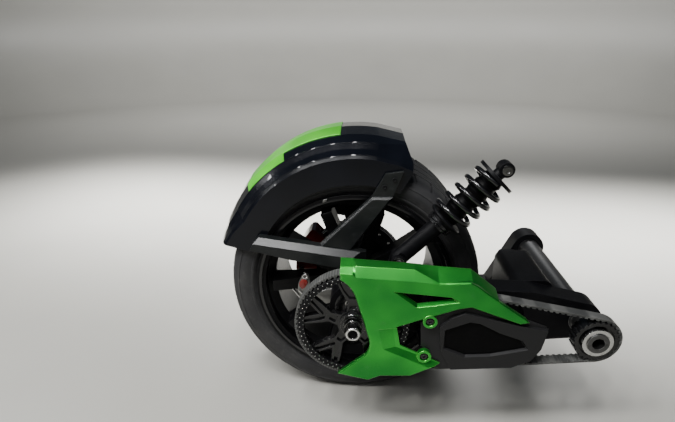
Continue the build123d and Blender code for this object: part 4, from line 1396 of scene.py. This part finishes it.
@dataclass
class Guards(Assembly):
    """Bolts of the belt guards, a dark panel in the lower guard's recess that paints its shade, and the sheet
    between the guards.
    """

    # Forward and up from the axle, as in the next two tables
    bolt_places: Table = ((0.181, 0.028), (0.173, -0.071))
    panel_outline: Table = (
        (0.2215, -0.0012), (0.2760, 0.0225), (0.2975, 0.0200), (0.3465, -0.0045), (0.3985, -0.0225),
        (0.4125, -0.0430), (0.3315, -0.0632), (0.2725, -0.0682), (0.2215, -0.0485),
    )
    web_outline: Table = (
        (0.2020, 0.0198), (0.1981, 0.0506), (0.2370, 0.0716), (0.2753, 0.0766), (0.3450, 0.0572),
        (0.4061, 0.0335), (0.4557, 0.0147), (0.4562, 0.0010), (0.4060, 0.0110), (0.3494, 0.0208),
        (0.2659, 0.0394), (0.2347, 0.0228), (0.2116, 0.0024),
    )
    bolt: Bolt = Bolt(0.0080, 0.0052, Head.SOCKET)
    cup_depth: float = 0.0070
    washer_faces: Pair = (0.0004, -0.0010)
    washer_radius: float = 0.0100
    web_depth: float = 0.0083
    web_thickness: float = 0.0030
    panel_depth: float = 0.0072
    panel_thickness: float = 0.0008
    # Forward and up from the axle to a place on the panel's fold, and the fold's normal
    fold_place: Pair = (0.3, -0.030)
    fold_normal: Place = (0.18, 0.0, 1.0)
    fold_band: float = 0.012
    fold_rise: float = 0.0006

    def build(self) -> None:
        """Makes the bolts, the recess panel and the sheet."""
        self.bolts()
        self.recess_shade_panel()
        self.web()

    def bolts(self) -> None:
        """Models the bolts of the guards in their cups, each on a washer."""
        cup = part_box("belt_guard")[0].y + self.cup_depth
        heads = []
        for x, z in beside_axle(self.bolt_places):
            place = Vector((x, cup, z))
            near, far = (place + LEFT * depth for depth in self.washer_faces)
            heads += [self.bolt.seated(place, RIGHT), Bench.rod(near, far, self.washer_radius, sides=28)]
        self.keep(Bench.joined(heads, "guard_bolts"), "black_iron")

    def recess_shade_panel(self) -> None:
        """Models a dark glossy panel that lies in the lower guard's recess, folded along a slant; its
        darkness is painted shade.
        """
        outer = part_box("lower_guard")[0].y + self.panel_depth
        piece = Bench.plate(beside_axle(self.panel_outline), outer, outer + self.panel_thickness)
        Bench.pick(piece, lambda face: face.normal.y < -0.9)
        forward, up = beside_axle((self.fold_place,))[0]
        bpy.ops.mesh.bisect(plane_co=(forward, outer, up), plane_no=self.fold_normal)
        bpy.ops.object.mode_set(mode="OBJECT")
        for corner in piece.data.vertices:
            if corner.co.z < up - self.fold_band and corner.co.y < outer + 0.0001:
                corner.co.y -= self.fold_rise
        # Painted shade: the panel's very dark finish stands for the shade deep in the recess
        self.keep(Bench.done(Bench.bevelled(piece, width=0.0003), "recess_shade_panel", angle=8), "boot")

    def web(self) -> None:
        """Models the sheet that closes the gap between the two guards."""
        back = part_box("lower_guard")[0].y + self.web_depth
        piece = Bench.plate(beside_axle(self.web_outline), back, back + self.web_thickness)
        self.keep(Bench.done(Bench.bevelled(piece, width=0.0004), "guard_web"), "matt_black", "guard_black")


@dataclass
class Hugger(Assembly):
    """Beads along the hugger's folds, and the bolts of its braces."""

    centre: Pair = (0.004, 0.034)
    crown: float = 0.386
    # Out from the middle, and below the crown
    folds: Table = ((0.1222, 0.0180), (0.1582, 0.0420))
    turns: Pair = (83.0, 150.0)
    bead_radius: float = 0.0011
    # Forward and up from the axle
    bolt_places: Table = ((0.072, 0.303), (0.096, 0.322))
    bolt: Bolt = Bolt(0.0055, 0.0036, Head.SOCKET)
    pad_rise: float = 0.0110

    def build(self) -> None:
        """Makes the beads and the bolts, on both sides."""
        self.beads()
        self.bolts()

    def beads(self) -> None:
        """Models the rounded ridges of the folds, which catch the light."""
        centre = Vector(beside_axle((self.centre,))[0])
        beads = [
            Bench.bead(centre, side * across, self.crown - drop, self.turns, self.bead_radius)
            for across, drop in self.folds
            for side, _ in SIDES
        ]
        self.keep(Bench.joined(beads, "hugger_beads"), "gloss_black")

    def bolts(self) -> None:
        """Models the bolts of the braces' pads."""
        across = abs(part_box("hugger_brace_right")[1].y) + self.pad_rise
        heads = [
            self.bolt.seated(Vector((x, side * across, z)), out)
            for side, out in SIDES
            for x, z in beside_axle(self.bolt_places)
        ]
        self.keep(Bench.joined(heads, "hugger_bolts"), "matt_black")


@dataclass
class Arm(Assembly):
    """Covers and bolts of the swingarm, and the caliper's fittings."""

    # Rise over the arm's face, and radius
    cover_profile: Table = (
        (0.0, 0.0235), (0.0022, 0.0245), (0.0034, 0.0300), (0.0034, 0.0470), (0.0026, 0.0480),
        (0.0, 0.0480),
    )
    cover_bolt: Bolt = Bolt(0.0042, 0.0034, Head.SOCKET)
    cover_bolt_reach: float = 0.0420
    cover_bolt_rise: float = 0.0033
    caliper_bolt: Bolt = Bolt(0.0075, 0.0060, Head.HEX)
    caliper_bolt_reach: float = 0.160
    caliper_bolt_turns: Pair = (150.0, 181.0)
    # Forward and up from the axle, as in the next three tables
    stay: Table = (
        (-0.048, 0.020), (-0.046, -0.022), (-0.093, -0.037), (-0.116, -0.026), (-0.143, -0.019),
        (-0.153, 0.004), (-0.150, 0.030), (-0.140, 0.052), (-0.132, 0.062), (-0.122, 0.055),
        (-0.118, 0.030), (-0.098, 0.004), (-0.070, 0.014),
    )
    pad: Table = (
        (-0.147, 0.034), (-0.140, 0.043), (-0.127, 0.041), (-0.124, 0.034), (-0.131, 0.021),
        (-0.139, 0.015), (-0.147, 0.023),
    )
    spring: Table = (
        (-0.167, 0.0120), (-0.1455, -0.0165), (-0.1620, -0.0810), (-0.1592, -0.0815),
        (-0.1420, -0.0165), (-0.1650, 0.0140),
    )
    clip: Table = ((-0.150, 0.0090), (-0.133, -0.0090), (-0.131, -0.0070), (-0.148, 0.0110))
    # In from the arm's inner face to the stay's two faces
    stay_faces: Pair = (-0.0010, 0.0080)
    # Out to the near face and in to the far face, from the stay's outer face
    pad_faces: Pair = (0.0065, 0.0005)
    spring_faces: Pair = (0.0030, 0.0060)
    clip_faces: Pair = (0.0045, 0.0005)
    eyelet_place: Pair = (-0.131, 0.052)
    # Rise over the stay's outer face, and radius
    eyelet_profile: Table = (
        (-0.0005, 0.0042), (0.0040, 0.0046), (0.0048, 0.0062), (0.0040, 0.0080), (-0.0005, 0.0084),
    )

    def build(self) -> None:
        """Makes the bearing covers, the caliper's bolts and its outer fitting."""
        self.covers()
        self.caliper_bolts()
        self.fitting()

    def covers(self) -> None:
        """Models a bolted cover over each spindle bearing."""
        faces = (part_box("arm_right")[0].y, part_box("arm_left")[1].y)
        covers = []
        bolts = []
        for face, (side, out) in zip(faces, SIDES):
            profile = [(face + side * rise, reach) for rise, reach in self.cover_profile]
            covers.append(Bench.turned(profile, steps=72))
            place = from_axle(self.cover_bolt_reach, 0, face + side * self.cover_bolt_rise)
            bolts += Bench.ring(self.cover_bolt.seated(place, out), 6)
        self.keep(Bench.joined(covers, "bearing_covers"), "black_iron")
        self.keep(Bench.joined(bolts, "bearing_cover_bolts"), "black_iron")

    def caliper_bolts(self) -> None:
        """Models the two bolts on the caliper's right face."""
        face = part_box("brake_caliper")[0].y
        places = [from_axle(self.caliper_bolt_reach, turn, face) for turn in self.caliper_bolt_turns]
        heads = [self.caliper_bolt.seated(place, RIGHT) for place in places]
        self.keep(Bench.joined(heads, "caliper_bolts"), "plated")

    def sheet(self, name: str, slot: str, outline: Table, near: float, far: float) -> None:
        """Makes a flat piece with rounded edges.

        Args:
            name: Name of the piece.
            slot: The record's name of the material slot.
            outline: Its corners, forward and up from the axle.
            near: Y of its outer face.
            far: Y of its inner face.
        """
        plate = Bench.bevelled(Bench.plate(beside_axle(outline), near, far), width=0.0006)
        self.keep(Bench.done(plate, name), slot)

    def fitting(self) -> None:
        """Models the stay at the arm's end, and the red pad, bent spring, clip and eyelet on it."""
        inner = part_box("arm_right")[1].y
        face = inner + self.stay_faces[0]
        self.sheet("caliper_stay", "cast_alloy", self.stay, face, inner + self.stay_faces[1])
        for name, slot, outline, (out, back) in (
            ("caliper_pad", "caliper_red", self.pad, self.pad_faces),
            ("pad_spring", "bright_steel", self.spring, self.spring_faces),
            ("pad_clip", "bright_steel", self.clip, self.clip_faces),
        ):
            self.sheet(name, slot, outline, face - out, face + back)
        centre = Vector(beside_axle((self.eyelet_place,))[0])
        eyelet = Bench.turned([(face - rise, out) for rise, out in self.eyelet_profile], 32, centre)
        self.keep(Bench.done(eyelet, "caliper_eyelet"), "bright_steel")


# Studio


def stood(data: bpy.types.ID, place: Place, aim: Place) -> bpy.types.Object:
    """Puts a lamp or a camera in the scene.

    Args:
        data: The lamp's or the camera's data.
        place: Where it stands.
        aim: What it points at.

    Returns:
        Its object.
    """
    made = bpy.data.objects.new(data.name, data)
    made.location = place
    made.rotation_euler = (Vector(aim) - Vector(place)).to_track_quat("-Z", "Y").to_euler()
    bpy.context.scene.collection.objects.link(made)
    return made


@dataclass(frozen=True)
class Lamp:
    """A soft lamp with a rectangular face. Its power is in watts and its spread in degrees."""

    name: str
    place: Place
    aim: Place
    size: Pair
    power: float
    spread: float = 180.0

    def hang(self) -> None:
        """Adds the lamp to the scene."""
        data = bpy.data.lights.new(self.name, "AREA")
        data.shape = "RECTANGLE"
        data.size, data.size_y = self.size
        data.energy = self.power
        data.spread = math.radians(self.spread)
        stood(data, self.place, self.aim)


@dataclass
class Studio:
    """Pale floor that curves up into a wall, soft lights, and the camera at the photograph's angle."""

    floor_radius: float = 7.0
    floor_middle: Pair = (-0.5, 0.0)
    rim_height: float = 3.2
    sweep: float = 1.2
    # Height at which the wall turns dark, from and to
    dusk: Pair = (0.95, 1.4)
    pale: tuple[Colour, Colour] = ((0.31, 0.303, 0.275), (0.40, 0.391, 0.358))
    dark: Colour = (0.03, 0.035, 0.04)
    room: tuple[float, float, float, float] = (0.60, 0.78, 1.0, 1.0)
    room_strength: float = 0.07
    strip_columns: tuple[float, ...] = (-2.5, -1.9, -1.3, -0.7)
    # Y of a row of strips, and the power of each
    strip_rows: Table = ((-2.3, 7.0), (-1.5, 42.0), (-0.7, 9.0))
    side_rows: tuple[float, ...] = (-0.9, -0.5, -0.1, 0.3, 0.7)
    large_lamps: tuple[Lamp, ...] = (
        Lamp("behind", (-0.3, 1.9, 1.9), (-0.4, 1.2, -0.3), size=(4.4, 0.8), power=125.0, spread=50.0),
        Lamp("backdrop", (-0.5, 3.4, 2.3), (-0.5, 6.0, -0.1), size=(6.0, 0.6), power=170.0, spread=150.0),
        Lamp("front", (-0.5, -3.4, 2.2), (-0.5, 0.0, 0.1), size=(2.6, 1.2), power=11.0),
    )
    eye: Place = (-0.568, -1.332, 0.708)
    aim: Place = (-0.634, 0.0, 0.193)
    lens: float = 26.0

    def build(self) -> None:
        """Makes the floor, the lights and the camera."""
        self.floor()
        self.world()
        for lamp in (*self.strips(), *self.large_lamps):
            lamp.hang()
        self.camera()

    def strips(self) -> list[Lamp]:
        """Long narrow lamps: rows overhead, and a column at the tail's side.

        Returns:
            The lamps.
        """
        overhead = [
            Lamp(f"strip_{row}_{column}", (x, y, 2.6), (x + 0.3, y / 2, 0), size=(0.09, 0.5), power=power)
            for row, (y, power) in enumerate(self.strip_rows)
            for column, x in enumerate(self.strip_columns)
        ]
        beside = [
            Lamp(f"side_{y}", (-3.0, y, 1.5), (-0.7, 0, 0.3), size=(0.07, 0.4), power=6.0)
            for y in self.side_rows
        ]
        return overhead + beside

    def floor(self) -> None:
        """Adds a pale floor under the tyre, with a wall swept up round its edge."""
        deselect()
        low, _ = CAD_BOX
        bpy.ops.mesh.primitive_circle_add(
            vertices=96, radius=self.floor_radius, fill_type="NGON", location=(*self.floor_middle, low[2])
        )
        ground = bpy.context.object
        ground.name = "floor"
        bpy.ops.object.mode_set(mode="EDIT")
        bpy.ops.mesh.select_mode(type="EDGE")
        bpy.ops.mesh.select_all(action="SELECT")
        bpy.ops.mesh.region_to_loop()
        bpy.ops.mesh.extrude_edges_move(TRANSFORM_OT_translate={"value": (0, 0, self.rim_height)})
        bpy.ops.object.mode_set(mode="OBJECT")
        bend = ground.modifiers.new("sweep", "BEVEL")
        bend.width = self.sweep
        bend.segments = 16
        bpy.ops.object.modifier_apply(modifier=bend.name)
        bpy.ops.object.shade_smooth()
        bpy.ops.object.transform_apply()
        ground.data.materials.append(self.concrete())

    def concrete(self) -> bpy.types.Material:
        """Pale floor grey, faintly clouded, that turns dark high on the wall.

        Returns:
            The material.
        """
        mix = Recipe("floor_grey")
        cloud = mix.noise(1.3, 5.0)
        speck = mix.noise(160.0)
        pale = mix.mix(cloud * 0.6 + speck * 0.15, *self.pale)
        return mix.finish(
            Base_Color=mix.mix(mix.axis("Z").between(*self.dusk), pale, self.dark),
            Roughness=0.34 + cloud * 0.18,
            Normal=mix.bump(speck, 0.00006),
        )

    def world(self) -> None:
        """Lights the room evenly and faintly."""
        world = bpy.data.worlds.new("room")
        world.use_nodes = True
        background = world.node_tree.nodes["Background"]
        background.inputs["Color"].default_value = self.room
        background.inputs["Strength"].default_value = self.room_strength
        bpy.context.scene.world = world

    def camera(self) -> None:
        """Sets the camera to the photograph's view."""
        data = bpy.data.cameras.new("camera")
        data.lens = self.lens
        data.sensor_width = 36.0
        bpy.context.scene.camera = stood(data, self.eye, self.aim)


def main() -> None:
    """Builds the scene, sub-assembly by sub-assembly."""
    logging.basicConfig(level=logging.INFO, format="%(message)s")
    wardrobe = Wardrobe()
    dress_frame(wardrobe)
    for assembly in (Wheel, Pulley, Shock, Guards, Hugger, Arm):
        assembly(wardrobe).build()
    Studio().build()


if __name__ == "__main__":
    main()
